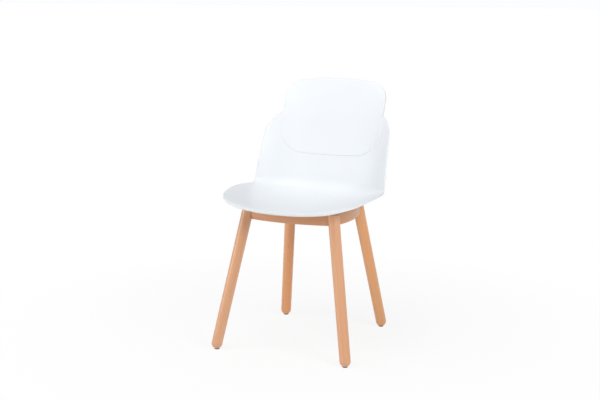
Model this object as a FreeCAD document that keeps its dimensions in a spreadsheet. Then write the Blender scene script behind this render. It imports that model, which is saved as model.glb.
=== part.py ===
import FreeCAD, Part
import math
import os

import Sketcher
from FreeCAD import Placement, Rotation, Vector

# Moulded plastic shell chair on a beech frame, in millimetres.
#
# The origin is on the floor in the middle of the footprint. +Z is up, the sitter faces -Y and the
# sitter's left hand is on +X. Left and right pieces are named for the sitter.
#
# One moulded shell (dished seat, wrap-around lower back, narrower head tab with a raised panel)
# stands on four splayed round legs, tied into a ring by four bowed rails. Corner blocks inside
# the ring carry the screws that go up into brass inserts in the bosses under the seat.

# Driving sizes: name, value, meaning
SIZES = (
    # legs: where each axis meets the floor and the top plane of the frame
    ("frame_top", 440.0, "height of the flat top of the legs and rails"),
    ("front_foot_x", 217.0, "front leg axis at the floor, out from the middle"),
    ("front_foot_y", -232.3, "front leg axis at the floor, fore and aft"),
    ("front_head_x", 140.9, "front leg axis at the top of the frame, out from the middle"),
    ("front_head_y", -147.0, "front leg axis at the top of the frame, fore and aft"),
    ("rear_foot_x", 174.8, "rear leg axis at the floor, out from the middle"),
    ("rear_foot_y", 202.3, "rear leg axis at the floor, fore and aft"),
    ("rear_head_x", 114.3, "rear leg axis at the top of the frame, out from the middle"),
    ("rear_head_y", 114.2, "rear leg axis at the top of the frame, fore and aft"),
    ("leg_foot_radius", 16.8, "leg at its domed foot"),
    ("leg_head_radius", 17.8, "leg at the top of the frame"),
    # glides
    ("glide_radius", 8.0, "glide disc"),
    ("glide_height", 3.0, "glide disc under the foot"),
    ("glide_pin_radius", 2.0, "pin of the glide, driven up into the foot"),
    ("glide_pin_depth", 16.0, "length of the pin"),
    # rails
    ("rail_height", 34.5, "depth of a rail"),
    ("rail_thickness", 20.0, "thickness of a rail"),
    ("rail_rounding", 2.5, "rounding along the edges of a rail"),
    ("rail_setback", 6.0, "rail middle line inside the leg axis"),
    ("front_rail_bow", 21.0, "how far the front rail bows out in its middle"),
    ("side_rail_bow", 29.0, "how far a side rail bows out in its middle"),
    ("rear_rail_bow", 16.0, "how far the rear rail bows out in its middle"),
    ("glue_gap", 0.2, "gap of a glued joint"),
    # dowels
    ("dowel_radius", 4.0, "dowel"),
    ("dowel_length", 34.0, "dowel"),
    ("dowel_in_leg", 11.5, "depth of a dowel in its leg"),
    ("dowel_pitch", 18.0, "upper dowel above the lower one"),
    # corner blocks
    ("block_height", 26.0, "depth of a corner block"),
    ("block_drop", 4.0, "top of a corner block below the top of the rails"),
    ("block_reach", 78.0, "length of a corner block along each rail"),
    ("block_end", 20.0, "width of a corner block at its ends"),
    ("bolt_inset", 15.2, "shell bolt beyond the leg's head, measured along both rails"),
    # wood screws of the blocks
    ("wood_screw_at", 54.0, "wood screw along its rail from the rail corner"),
    ("wood_screw_length", 34.0, "wood screw"),
    ("wood_screw_radius", 2.0, "shank of the wood screw"),
    ("wood_screw_head", 4.0, "radius of the head of the wood screw"),
    ("wood_screw_bite", 13.0, "depth of the wood screw in the rail"),
    # machine screws, washers, inserts and spacers of the shell
    ("bolt_radius", 3.0, "shank of the machine screw"),
    ("bolt_head_radius", 5.5, "head of the machine screw"),
    ("bolt_head_height", 4.0, "head of the machine screw"),
    ("bolt_socket", 4.6, "hexagon socket across its corners"),
    ("washer_radius", 8.0, "washer"),
    ("washer_height", 1.4, "washer"),
    ("spacer_radius", 10.0, "soft spacer ring"),
    ("spacer_height", 2.0, "soft spacer ring"),
    ("insert_radius", 4.2, "threaded insert"),
    ("insert_length", 7.5, "threaded insert"),
    ("screw_play", 0.3, "gap round a screw in its hole"),
    # shell, in section along the middle
    ("skin", 4.0, "wall of the shell"),
    ("seat_clearance", 3.0, "lowest point of the dished seat above the top of the frame"),
    ("seat_low_y", 20.0, "lowest point of the seat, fore and aft"),
    ("seat_front_rise", 10.5, "rise of the seat from its lowest point to its front"),
    ("seat_front_roll", 6.0, "drop of the rolled front edge"),
    ("seat_side_rise", 40.8, "rise of the dished seat at its widest"),
    ("seat_dish_power", 2.2, "how late the dish rises towards the sides, as a power"),
    ("seat_front_loss", 0.34, "share of the dish that is lost at the front"),
    ("seat_rear_gain", 3.0, "how fast the dish deepens towards the back"),
    ("seat_roll_start", 0.76, "share of the way to the front where the edge begins to roll"),
    ("back_foot_y", 140.0, "middle of the back at the knee height"),
    ("back_knee", 57.0, "height over the seat's lowest point at which the lean of the back is set"),
    ("back_lean", 0.28, "lean of the back, run over rise"),
    ("back_curl", 0.00015, "growth of the lean with height, per mm"),
    ("back_wrap", 70.0, "how far the back wraps forward at its sides"),
    ("back_wrap_power", 3.5, "how late the wrap begins towards the sides, as a power"),
    ("back_wrap_loss", 2.7, "how late the wrap fades out up the back, as a power"),
    ("bend_radius", 66.0, "inner radius between seat and back in the middle"),
    ("bend_radius_side", 14.0, "inner radius between seat and back at the sides"),
    ("bend_reach", 0.76, "run of the bend from the corner along each side, as a share of its radius"),
    # shell, outline of the seat from above
    ("seat_half_width", 242.2, "widest point of the seat"),
    ("seat_widest_y", -41.0, "widest point, fore and aft"),
    ("seat_front_y", -228.0, "front of the seat"),
    ("seat_side_radius", 372.0, "side of the seat from above, ahead of its widest point"),
    ("seat_rear_radius", 282.0, "side of the seat from above, behind its widest point"),
    ("seat_corner_radius", 111.0, "front corners of the seat from above"),
    ("seat_front_radius", 1600.0, "front of the seat from above"),
    # shell, outline of the back from the front
    ("shoulder_foot", 40.3, "where the seat rim turns up into the back, over the seat's lowest point"),
    ("shoulder_step", 19.6, "side of the back at that height, inside the widest point of the seat"),
    ("shoulder_lean", 3.0, "lean of the side of the back, in degrees"),
    ("shoulder_radius", 78.0, "rounded shoulder"),
    ("notch_height", 257.5, "notch between shoulder and head tab, over the seat's lowest point"),
    ("tab_step", 47.6, "side of the head tab inside the foot of the side of the back"),
    ("tab_corner_radius", 58.0, "top corners of the head tab"),
    ("tab_top", 368.0, "top of the head tab, over the seat's lowest point"),
    ("tab_top_radius", 850.0, "arched top of the head tab"),
    # raised head panel
    ("panel_relief", 1.8, "how far the head panel stands off the back"),
    ("panel_foot", 125.0, "lower edge of the head panel, over the seat's lowest point"),
    ("panel_corner_radius", 88.0, "lower corners of the head panel"),
    ("panel_foot_radius", 1600.0, "arched lower edge of the head panel"),
    # turned-down rim and bosses
    ("rim_depth", 8.5, "depth of the turned-down rim at the front of the seat"),
    ("rim_extra", 0.5, "how much thicker than the skin the rim is along the sides and the back"),
    ("rim_wall", 4.5, "width of the rim"),
    ("boss_radius", 11.0, "boss under the seat"),
    ("rib_reach", 24.0, "reach of the ribs of a boss from its axis"),
    ("rib_thickness", 2.6, "rib of a boss"),
)

STEPS_ACROSS = 24      # spans of the moulded surface from side to side
STEPS_SEAT = 24        # spans along the seat to the middle of the bend
STEPS_BACK = 22        # spans from there up the back
CROWDING = 1.8         # how much closer the spans are at the bend
MEASURES = 120         # measured steps along each third of a section
CONIC_WEIGHT = 0.8     # fullness of the bend
MEETING_ROUNDS = 60    # rounds in which seat and back are brought to their meeting point
SIDE_MARGIN = 12.0     # how far the untrimmed surface runs past the widest outline
TOP_MARGIN = 45.0      # how far it runs past the top
OUTLINE_PAD = 1000.0   # length of the pads that trim the shell to its outlines
PASS_THROUGH = 1.0     # how far a hole's cutter runs past the face it starts from

doc = FreeCAD.newDocument("shell_chair")

# The sheet of sizes
sheet = doc.addObject("Spreadsheet::Sheet", "Sizes")
for row, (alias, number, meaning) in enumerate(SIZES, start=1):
    sheet.set("A%d" % row, alias)
    sheet.set("B%d" % row, str(number))
    sheet.set("C%d" % row, meaning)
    sheet.setAlias("B%d" % row, alias)
doc.recompute()


VALUES = {alias: float(sheet.get(alias)) for alias, number, meaning in SIZES}


def size(alias):
    return VALUES[alias]


SEAT_LOW = size("frame_top") + size("seat_clearance")
KNEE = SEAT_LOW + size("back_knee")
SHOULDER_FOOT = SEAT_LOW + size("shoulder_foot")
NOTCH = SEAT_LOW + size("notch_height")
TAB_TOP = SEAT_LOW + size("tab_top")
PANEL_FOOT = SEAT_LOW + size("panel_foot")
SHOULDER_HALF = size("seat_half_width") - size("shoulder_step")
TAB_HALF = SHOULDER_HALF - size("tab_step")


def bind(item, **links):
    """Binds properties of an object to expressions on the sheet, such as Radius="boss_radius"."""
    for name, text in links.items():
        item.setExpression(name, text)


def cell(alias):
    return "Sizes." + alias


# Geometry that several pieces share

class Leg:
    """The straight axis of a leg, from the floor to the top plane of the frame."""

    def __init__(self, end):
        self.foot = Vector(size(end + "_foot_x"), size(end + "_foot_y"), 0)
        self.head = Vector(size(end + "_head_x"), size(end + "_head_y"), size("frame_top"))

    def at(self, height):
        return self.foot + (self.head - self.foot) * (height / self.head.z)

    def length(self):
        return (self.head - self.foot).Length

    def placement(self):
        return Placement(self.foot, Rotation(Vector(0, 0, 1), self.head - self.foot))


class Bow:
    """The middle line of a bowed rail: an arc in plan through two corners, bowed outwards."""

    def __init__(self, start, end, bow):
        chord = end - start
        half = chord.Length / 2
        outward = Vector(chord.y, -chord.x, 0).normalize()
        self.radius = (half * half + bow * bow) / (2 * bow)
        self.centre = (start + end) / 2 - outward * (self.radius - bow)
        self.half_angle = math.degrees(math.asin(half / self.radius))
        self.heading = math.degrees(math.atan2(outward.y, outward.x))

    def point(self, from_start):
        """Point on the middle line at a distance from its start."""
        turn = math.radians(self.heading - self.half_angle) + from_start / self.radius
        return self.centre + Vector(math.cos(turn), math.sin(turn), 0) * self.radius

    def inward(self, point):
        return (self.centre - point).normalize()


def mirror_point(point):
    return Vector(-point.x, point.y, point.z)


RAIL_MIDDLE = size("frame_top") - size("rail_height") / 2
front_leg_axis = Leg("front")
rear_leg_axis = Leg("rear")


def rail_corner(leg, fore_and_aft):
    """Corner of the ring's middle line, set in from the leg axis at the height of the rails."""
    setback = size("rail_setback")
    axis = leg.at(RAIL_MIDDLE)
    return Vector(axis.x - setback, axis.y - fore_and_aft * setback, 0)


front_corner = rail_corner(front_leg_axis, -1)
rear_corner = rail_corner(rear_leg_axis, 1)
front_bow = Bow(mirror_point(front_corner), front_corner, size("front_rail_bow"))
left_bow = Bow(front_corner, rear_corner, size("side_rail_bow"))
rear_bow = Bow(rear_corner, mirror_point(rear_corner), size("rear_rail_bow"))


# Small makers of document objects

def origin_plane(body, role):
    return [item for item in body.Origin.OriginFeatures if item.Role == role][0]


def new_sketch(body, name, role):
    sketch = body.newObject("Sketcher::SketchObject", name)
    sketch.AttachmentSupport = [(origin_plane(body, role), "")]
    sketch.MapMode = "FlatFace"
    return sketch


def new_body(name):
    return doc.addObject("PartDesign::Body", name)


def revolve(body, sketch, name, angle=360.0, midplane=False):
    feature = body.newObject("PartDesign::Revolution", name)
    feature.Profile = sketch
    feature.ReferenceAxis = (sketch, ["V_Axis"])
    feature.Angle = angle
    feature.Midplane = midplane
    return feature


def cylinder(name, radius, height, place, grow=""):
    """Cylinder bound to the sheet; grow names an expression that is added to its radius."""
    item = doc.addObject("Part::Cylinder", name)
    bind(item, Radius=radius + grow, Height=height)
    item.Placement = place
    return item


def compound(name, items):
    group = doc.addObject("Part::Compound", name)
    group.Links = items
    return group


def fuse(name, items):
    joined = doc.addObject("Part::MultiFuse", name)
    joined.Shapes = items
    return joined


def boolean(kind, name, base, tool):
    result = doc.addObject("Part::" + kind, name)
    result.Base = base
    result.Tool = tool
    return result


def cut(name, base, tools):
    tool = tools[0] if len(tools) == 1 else fuse(name + "_cutters", tools)
    return boolean("Cut", name, base, tool)


def mirrored(name, source):
    """The same piece on the sitter's other side."""
    copy = doc.addObject("Part::Mirroring", name)
    copy.Source = source
    copy.Base = Vector(0, 0, 0)
    copy.Normal = Vector(1, 0, 0)
    return copy


def along(start, direction):
    """Placement whose Z axis points along a direction."""
    return Placement(start, Rotation(Vector(0, 0, 1), direction))


def polygon(sketch, points):
    """Closed loop of straight lines, joined end to end."""
    count = len(points)
    for index in range(count):
        sketch.addGeometry(Part.LineSegment(points[index], points[(index + 1) % count]))
    for index in range(count):
        sketch.addConstraint(Sketcher.Constraint("Coincident", index, 2, (index + 1) % count, 1))


def name_size(sketch, kind, label, where, text):
    """Adds a named dimension to a sketch and binds it to the sheet."""
    index = sketch.addConstraint(Sketcher.Constraint(kind, *where))
    sketch.renameConstraint(index, label)
    sketch.setExpression("Constraints." + label, text)


# Legs: turned beech with a domed foot, cut level at the top and for the glide

def dome_height():
    """Height of the centre of the foot's dome, so that it is cut level to the glide's width."""
    over_glide = math.sqrt(size("leg_foot_radius") ** 2 - size("glide_radius") ** 2)
    return size("glide_height") + over_glide


def make_leg_blank(end, leg):
    body = new_body(end + "_leg_blank")
    sketch = new_sketch(body, end + "_leg_profile", "XZ_Plane")
    foot = size("leg_foot_radius")
    head = size("leg_head_radius")
    dome = dome_height() * leg.length() / leg.head.z
    top = leg.length() + size("leg_head_radius")
    dome_circle = Part.Circle(Vector(0, dome, 0), Vector(0, 0, 1), foot)
    sketch.addGeometry(Part.ArcOfCircle(dome_circle, -math.pi / 2, 0))
    sketch.addGeometry(Part.LineSegment(Vector(foot, dome, 0), Vector(head, top, 0)))
    sketch.addGeometry(Part.LineSegment(Vector(head, top, 0), Vector(0, top, 0)))
    sketch.addGeometry(Part.LineSegment(Vector(0, top, 0), Vector(0, dome - foot, 0)))
    for first, second in ((0, 1), (1, 2), (2, 3)):
        sketch.addConstraint(Sketcher.Constraint("Coincident", first, 2, second, 1))
    sketch.addConstraint(Sketcher.Constraint("Coincident", 3, 2, 0, 1))
    sketch.addConstraint(Sketcher.Constraint("PointOnObject", 0, 3, -2))
    sketch.addConstraint(Sketcher.Constraint("PointOnObject", 3, 1, -2))
    sketch.addConstraint(Sketcher.Constraint("PointOnObject", 3, 2, -2))
    sketch.addConstraint(Sketcher.Constraint("Horizontal", 2))
    name_size(sketch, "Radius", "foot_radius", (0, foot), cell("leg_foot_radius"))
    name_size(sketch, "DistanceX", "head_radius", (-1, 1, 2, 1, head), cell("leg_head_radius"))
    revolve(body, sketch, end + "_leg_turning")
    body.Placement = leg.placement()
    return body


def make_leg_envelope(end, leg):
    """The space that a leg and its glue take up in the rails and blocks."""
    cone = doc.addObject("Part::Cone", end + "_leg_envelope")
    bind(cone, Radius1=cell("leg_foot_radius") + " + Sizes.glue_gap",
         Radius2=cell("leg_head_radius") + " + Sizes.glue_gap")
    cone.Height = leg.length() + size("leg_head_radius")
    cone.Placement = leg.placement()
    return cone


def level_cutter(name, centre, bottom, height):
    """A block that cuts a leg level at its top or its foot."""
    side = 4 * size("leg_head_radius")
    box = doc.addObject("Part::Box", name)
    box.Length = side
    box.Width = side
    box.Height = height
    box.Placement.Base = Vector(centre.x - side / 2, centre.y - side / 2, bottom)
    return box


def glide_centre(leg):
    axis = leg.at(dome_height())
    return Vector(axis.x, axis.y, 0)


def make_glide(name, leg):
    """Plastic disc with a bevelled edge, and the pin that holds it in the foot."""
    body = new_body(name)
    sketch = new_sketch(body, name + "_profile", "XZ_Plane")
    disc = size("glide_radius")
    pin = size("glide_pin_radius")
    height = size("glide_height")
    bevel = height / 4
    top = height + size("glide_pin_depth")
    polygon(sketch, [Vector(0, 0, 0), Vector(disc - bevel, 0, 0), Vector(disc, bevel, 0),
                     Vector(disc, height, 0), Vector(pin, height, 0), Vector(pin, top, 0), Vector(0, top, 0)])
    sketch.addConstraint(Sketcher.Constraint("Coincident", 0, 1, -1, 1))
    name_size(sketch, "DistanceX", "disc_radius", (-1, 1, 2, 2, disc), cell("glide_radius"))
    name_size(sketch, "DistanceY", "disc_height", (-1, 1, 3, 1, height), cell("glide_height"))
    name_size(sketch, "DistanceX", "pin_radius", (-1, 1, 4, 2, pin), cell("glide_pin_radius"))
    revolve(body, sketch, name + "_turning")
    body.Placement = Placement(glide_centre(leg), Rotation())
    return body


# Rails: a rounded section turned about the centre of its bow

def make_rail_blank(name, bow):
    body = new_body(name + "_blank")
    sketch = new_sketch(body, name + "_section", "XZ_Plane")
    half = size("rail_thickness") / 2
    height = size("rail_height")
    polygon(sketch, [Vector(bow.radius - half, 0, 0), Vector(bow.radius + half, 0, 0),
                     Vector(bow.radius + half, height, 0), Vector(bow.radius - half, height, 0)])
    for side, kind in enumerate(("Horizontal", "Vertical", "Horizontal", "Vertical")):
        sketch.addConstraint(Sketcher.Constraint(kind, side))
    sketch.addConstraint(Sketcher.Constraint("PointOnObject", 0, 1, -1))
    name_size(sketch, "DistanceX", "thickness", (0, 1, 0, 2, 2 * half), cell("rail_thickness"))
    name_size(sketch, "DistanceY", "height", (1, 1, 1, 2, height), cell("rail_height"))
    turning = revolve(body, sketch, name + "_bend", 2 * bow.half_angle, True)
    doc.recompute()
    rounding = body.newObject("PartDesign::Fillet", name + "_rounding")
    rounding.Base = (turning, long_edges(turning.Shape))
    rounding.setExpression("Radius", cell("rail_rounding"))
    body.Placement = Placement(Vector(bow.centre.x, bow.centre.y, size("frame_top") - height),
                               Rotation(Vector(0, 0, 1), bow.heading))
    return body


def long_edges(shape):
    """Names of the curved edges along a rail."""
    return ["Edge%d" % (index + 1) for index, edge in enumerate(shape.Edges)
            if edge.Curve.TypeId == "Part::GeomCircle"]


def make_dowels(name, bow, from_start, direction_sign, leg, holes):
    """Two dowels, one above the other, from a rail's end into its leg."""
    items = []
    end = bow.point(from_start)
    ahead = bow.point(from_start + direction_sign)
    direction = (ahead - end).normalize()
    axis = leg.at(RAIL_MIDDLE)
    to_face = (end - Vector(axis.x, axis.y, 0)).dot(direction)
    start = end + direction * (size("leg_head_radius") - to_face - size("dowel_in_leg"))
    play = " + Sizes.glue_gap" if holes else ""
    for step in (-0.5, 0.5):
        height = RAIL_MIDDLE + step * size("dowel_pitch")
        place = along(Vector(start.x, start.y, height), direction)
        label = "%s_%s" % (name, "low" if step < 0 else "high")
        items.append(cylinder(label, cell("dowel_radius"), cell("dowel_length"), place, play))
    return items


def make_all_dowels(kind, holes):
    """Dowels of the middle and left side: front and rear rail at the left end, left rail at both."""
    front_length = math.radians(2 * front_bow.half_angle) * front_bow.radius
    left_length = math.radians(2 * left_bow.half_angle) * left_bow.radius
    places = (("front_rail", front_bow, front_length, -1, front_leg_axis),
              ("left_rail_front", left_bow, 0.0, 1, front_leg_axis),
              ("left_rail_rear", left_bow, left_length, -1, rear_leg_axis),
              ("rear_rail", rear_bow, 0.0, 1, rear_leg_axis))
    return {name: make_dowels(name + "_" + kind, bow, at, sign, leg, holes)
            for name, bow, at, sign, leg in places}


# Corner blocks: glued and screwed into the corners of the ring

class Corner:
    """A corner of the ring seen along its two rails: each way has a bow and a start."""

    def __init__(self, corner, first, first_start, first_sign, second, second_start, second_sign):
        self.corner = corner
        self.ways = ((first, first_start, first_sign), (second, second_start, second_sign))

    def on_rail(self, way, distance):
        bow, start, sign = self.ways[way]
        return bow.point(start + sign * distance)

    def inward(self, way, distance):
        return self.ways[way][0].inward(self.on_rail(way, distance))

    def bolt(self):
        """Axis of the machine screw, inset along both rails from the leg's head."""
        inset = size("leg_head_radius") + size("bolt_inset")
        first = self.on_rail(0, inset) - self.corner
        second = self.on_rail(1, inset) - self.corner
        return self.corner + first + second


FRONT_LENGTH = math.radians(2 * front_bow.half_angle) * front_bow.radius
LEFT_LENGTH = math.radians(2 * left_bow.half_angle) * left_bow.radius
corners = {
    "front_left": Corner(front_corner, front_bow, FRONT_LENGTH, -1, left_bow, 0.0, 1),
    "rear_left": Corner(rear_corner, rear_bow, 0.0, 1, left_bow, LEFT_LENGTH, -1),
}


def make_block_blank(name, corner):
    """Five-sided blank whose outer sides run along the middle lines of the two rails."""
    body = new_body(name + "_blank")
    sketch = new_sketch(body, name + "_outline", "XY_Plane")
    reach = size("block_reach")
    end = size("block_end") + size("rail_thickness") / 2
    outer = [corner.on_rail(way, reach) for way in (0, 1)]
    inner = [outer[way] + corner.inward(way, reach) * end for way in (0, 1)]
    polygon(sketch, [corner.corner, outer[0], inner[0], inner[1], outer[1]])
    pad = body.newObject("PartDesign::Pad", name + "_pad")
    pad.Profile = sketch
    pad.setExpression("Length", cell("block_height"))
    body.Placement.Base.z = WASHER_TOP
    return body


def make_rail_envelope(name, bow):
    """The space that a rail takes up in the corner blocks: its section without roundings."""
    inner = cylinder(name + "_inner", "1", "1", Placement())
    outer = cylinder(name + "_outer", "1", "1", Placement())
    low = size("frame_top") - size("rail_height")
    for item, reach in ((inner, -1), (outer, 1)):
        half = "(Sizes.rail_thickness / 2 + Sizes.glue_gap)"
        bind(item, Radius="%r + %d * %s" % (bow.radius, reach, half),
             Height="Sizes.rail_height + 2 * Sizes.rail_rounding")
        item.Placement.Base = Vector(bow.centre.x, bow.centre.y, low - size("rail_rounding"))
    return boolean("Cut", name, outer, inner)


def wood_screw_places(corner):
    """Start of each wood screw at its head, and its direction, out through the rail."""
    places = []
    height = BLOCK_TOP - size("block_height") / 2
    for way in (0, 1):
        point = corner.on_rail(way, size("wood_screw_at"))
        inward = corner.inward(way, size("wood_screw_at"))
        depth = size("wood_screw_length") - size("wood_screw_bite") + size("rail_thickness") / 2
        start = point + inward * depth
        places.append((Vector(start.x, start.y, height), inward * -1))
    return places


def make_wood_screws(name, corner, holes):
    """Countersunk screws; as holes they have play and a clear way in for the head."""
    items = []
    play = " + Sizes.screw_play" if holes else ""
    for number, (start, direction) in enumerate(wood_screw_places(corner), start=1):
        label = "%s_%d" % (name, number)
        shank = cylinder(label + "_shank", cell("wood_screw_radius"), cell("wood_screw_length"),
                         along(start, direction), play)
        head = doc.addObject("Part::Cone", label + "_head")
        bind(head, Radius1=cell("wood_screw_head") + play, Radius2=cell("wood_screw_radius") + play,
             Height=cell("wood_screw_radius") + play)
        head.Placement = along(start, direction)
        solids = [head, shank]
        if holes:
            solids.append(cylinder(label + "_way_in", cell("wood_screw_head"), cell("block_reach"),
                                   along(start, direction * -1), play))
        items.append(fuse(label, solids))
    return items


# Fixings of the shell, stacked on the axis of each corner block

BLOCK_TOP = size("frame_top") - size("block_drop")
WASHER_TOP = BLOCK_TOP - size("block_height")
BOSS_FACE = BLOCK_TOP + size("spacer_height")
bolt_axes = [corners[name].bolt() for name in ("front_left", "rear_left")]


def ring(name, outer, inner, height, point, bottom, play=""):
    """Flat ring or tube with its bottom at a height."""
    place = Placement(Vector(point.x, point.y, bottom), Rotation())
    outside = cylinder(name + "_outside", outer, height, place)
    inside = cylinder(name + "_inside", inner, height, place, play)
    return boolean("Cut", name, outside, inside)


def make_bolt(name, point):
    """Machine screw with a round head and a hexagon socket, from below."""
    washer_foot = WASHER_TOP - size("washer_height")
    insert_top = BOSS_FACE + size("insert_length")
    length = insert_top - washer_foot - PASS_THROUGH
    shank = cylinder(name + "_shank", cell("bolt_radius"), "%r" % length,
                     Placement(Vector(point.x, point.y, washer_foot), Rotation()))
    head = cylinder(name + "_head", cell("bolt_head_radius"), cell("bolt_head_height"),
                    Placement(Vector(point.x, point.y, washer_foot - size("bolt_head_height")), Rotation()))
    socket = doc.addObject("Part::Prism", name + "_socket")
    socket.Polygon = 6
    bind(socket, Circumradius=cell("bolt_socket") + " / 2", Height=cell("bolt_head_height") + " / 2")
    socket.Placement.Base = head.Placement.Base
    return boolean("Cut", name, fuse(name + "_solid", [head, shank]), socket)


# Outlines of the shell: chains of arcs that run into each other

def circle_between(first, first_radius, second, second_radius, radius, side):
    """Centre of a circle that touches two larger circles from inside; side picks one of two."""
    a = first_radius - radius
    b = second_radius - radius
    span = second - first
    reach = span.Length
    ahead = (a * a - b * b + reach * reach) / (2 * reach)
    aside = math.sqrt(a * a - ahead * ahead) * side
    unit = span / reach
    return first + unit * ahead + Vector(-unit.y, unit.x, 0) * aside


def heading(centre, point):
    return math.atan2(point.y - centre.y, point.x - centre.x)


def touch(large, small, small_radius):
    """Point where a circle touches a larger one from inside."""
    return small + (small - large).normalize() * small_radius


def add_arc(sketch, centre, radius, first, second):
    """Counter-clockwise arc between the headings of two points."""
    circle = Part.Circle(centre, Vector(0, 0, 1), radius)
    arc = Part.ArcOfCircle(circle, heading(centre, first), heading(centre, second))
    return sketch.addGeometry(arc)


def add_line(sketch, first, second):
    return sketch.addGeometry(Part.LineSegment(first, second))


def pad_both_ways(body, sketch, name):
    pad = body.newObject("PartDesign::Pad", name)
    pad.Profile = sketch
    pad.Length = OUTLINE_PAD
    pad.Midplane = True
    return pad


def mirror_body(body, feature, name, role):
    mirror = body.newObject("PartDesign::Mirrored", name)
    mirror.Originals = [feature]
    mirror.MirrorPlane = (origin_plane(body, role), [""])
    body.Tip = mirror
    return mirror


def make_seat_outline(name, inset):
    """The seat from above, and the full depth behind it for the back. Inset moves the outline in."""
    body = new_body(name)
    sketch = new_sketch(body, name + "_arcs", "XY_Plane")
    side_radius = size("seat_side_radius") - inset
    corner_radius = size("seat_corner_radius") - inset
    front_radius = size("seat_front_radius") - inset
    side = Vector(size("seat_half_width") - size("seat_side_radius"), size("seat_widest_y"), 0)
    front = Vector(0, size("seat_front_y") + size("seat_front_radius"), 0)
    corner = circle_between(front, front_radius, side, side_radius, corner_radius, 1)
    rear_radius = size("seat_rear_radius") - inset
    rear_side = Vector(size("seat_half_width") - size("seat_rear_radius"), side.y, 0)
    back_x = SHOULDER_HALF - inset
    middle_front = Vector(0, front.y - front_radius, 0)
    front_end = touch(front, corner, corner_radius)
    side_start = touch(side, corner, corner_radius)
    widest = Vector(size("seat_half_width") - inset, side.y, 0)
    side_run = math.sqrt(rear_radius ** 2 - (back_x - rear_side.x) ** 2)
    side_end = Vector(back_x, side.y + side_run, 0)
    rear = OUTLINE_PAD / 2
    add_arc(sketch, front, front_radius, middle_front, front_end)
    add_arc(sketch, corner, corner_radius, front_end, side_start)
    add_arc(sketch, side, side_radius, side_start, widest)
    add_arc(sketch, rear_side, rear_radius, widest, side_end)
    add_line(sketch, side_end, Vector(back_x, rear, 0))
    add_line(sketch, Vector(back_x, rear, 0), Vector(0, rear, 0))
    add_line(sketch, Vector(0, rear, 0), middle_front)
    pad = pad_both_ways(body, sketch, name + "_pad")
    body.Placement.Base.z = size("frame_top")
    mirror_body(body, pad, name + "_both_sides", "YZ_Plane")
    return body


def make_back_outline(name, inset):
    """The back from the front: leaning side, round shoulder, notch and head tab, with room below.

    Inset moves the outline in."""
    body = new_body(name)
    sketch = new_sketch(body, name + "_arcs", "XZ_Plane")
    lean = math.radians(size("shoulder_lean"))
    foot = Vector(SHOULDER_HALF, SHOULDER_FOOT, 0)
    up_side = Vector(-math.sin(lean), math.cos(lean), 0)
    into_side = Vector(-math.cos(lean), -math.sin(lean), 0)
    radius = size("shoulder_radius")
    notch = Vector(TAB_HALF, NOTCH, 0)
    # the shoulder's centre lies one radius in from the leaning side and one radius from the notch
    across = (notch - foot).dot(into_side) - radius
    run = (notch - foot).dot(up_side) - math.sqrt(radius ** 2 - across ** 2)
    shoulder = foot + up_side * run + into_side * radius
    tab = size("tab_corner_radius")
    crown_radius = size("tab_top_radius")
    crown = Vector(0, TAB_TOP - crown_radius, 0)
    tab_x = TAB_HALF - tab
    tab_centre = Vector(tab_x, crown.y + math.sqrt((crown_radius - tab) ** 2 - tab_x ** 2), 0)
    # the same chain with every radius and line moved in
    round_radius = radius - inset
    side_x = TAB_HALF - inset
    notch_in = Vector(side_x, shoulder.y + math.sqrt(round_radius ** 2 - (side_x - shoulder.x) ** 2), 0)
    side_end = foot + up_side * run + into_side * inset
    foot_in = side_end - up_side * ((side_end.y - foot.y + inset) / up_side.y)
    tab_start = Vector(side_x, tab_centre.y, 0)
    tab_end = touch(crown, tab_centre, tab - inset)
    top = Vector(0, TAB_TOP - inset, 0)
    wide = size("seat_half_width") + SIDE_MARGIN
    step = Vector(wide, foot_in.y, 0)
    ground = Vector(wide, 0, 0)
    add_line(sketch, step, foot_in)
    add_line(sketch, foot_in, side_end)
    add_arc(sketch, shoulder, round_radius, side_end, notch_in)
    add_line(sketch, notch_in, tab_start)
    add_arc(sketch, tab_centre, tab - inset, tab_start, tab_end)
    add_arc(sketch, crown, crown_radius - inset, tab_end, top)
    add_line(sketch, top, Vector(0, 0, 0))
    add_line(sketch, Vector(0, 0, 0), ground)
    add_line(sketch, ground, step)
    pad = pad_both_ways(body, sketch, name + "_pad")
    mirror_body(body, pad, name + "_both_sides", "YZ_Plane")
    return body


def make_panel_outline(name):
    """The head panel from the front; above the notch it is wider than the tab that ends it."""
    body = new_body(name)
    sketch = new_sketch(body, name + "_arcs", "XZ_Plane")
    radius = size("panel_corner_radius")
    foot_radius = size("panel_foot_radius")
    wide = SHOULDER_HALF + SIDE_MARGIN
    high = TAB_TOP + SIDE_MARGIN
    foot_centre = Vector(0, PANEL_FOOT + foot_radius, 0)
    corner_x = TAB_HALF - radius
    corner = Vector(corner_x, foot_centre.y - math.sqrt((foot_radius - radius) ** 2 - corner_x ** 2), 0)
    middle_foot = Vector(0, PANEL_FOOT, 0)
    foot_end = touch(foot_centre, corner, radius)
    corner_end = Vector(TAB_HALF, corner.y, 0)
    add_arc(sketch, foot_centre, foot_radius, middle_foot, foot_end)
    add_arc(sketch, corner, radius, foot_end, corner_end)
    chain = [corner_end, Vector(TAB_HALF, NOTCH, 0), Vector(wide, NOTCH, 0), Vector(wide, high, 0),
             Vector(0, high, 0), middle_foot]
    for first, second in zip(chain, chain[1:]):
        add_line(sketch, first, second)
    pad = pad_both_ways(body, sketch, name + "_pad")
    mirror_body(body, pad, name + "_both_sides", "YZ_Plane")
    return body


# The moulded surface of the shell

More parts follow.
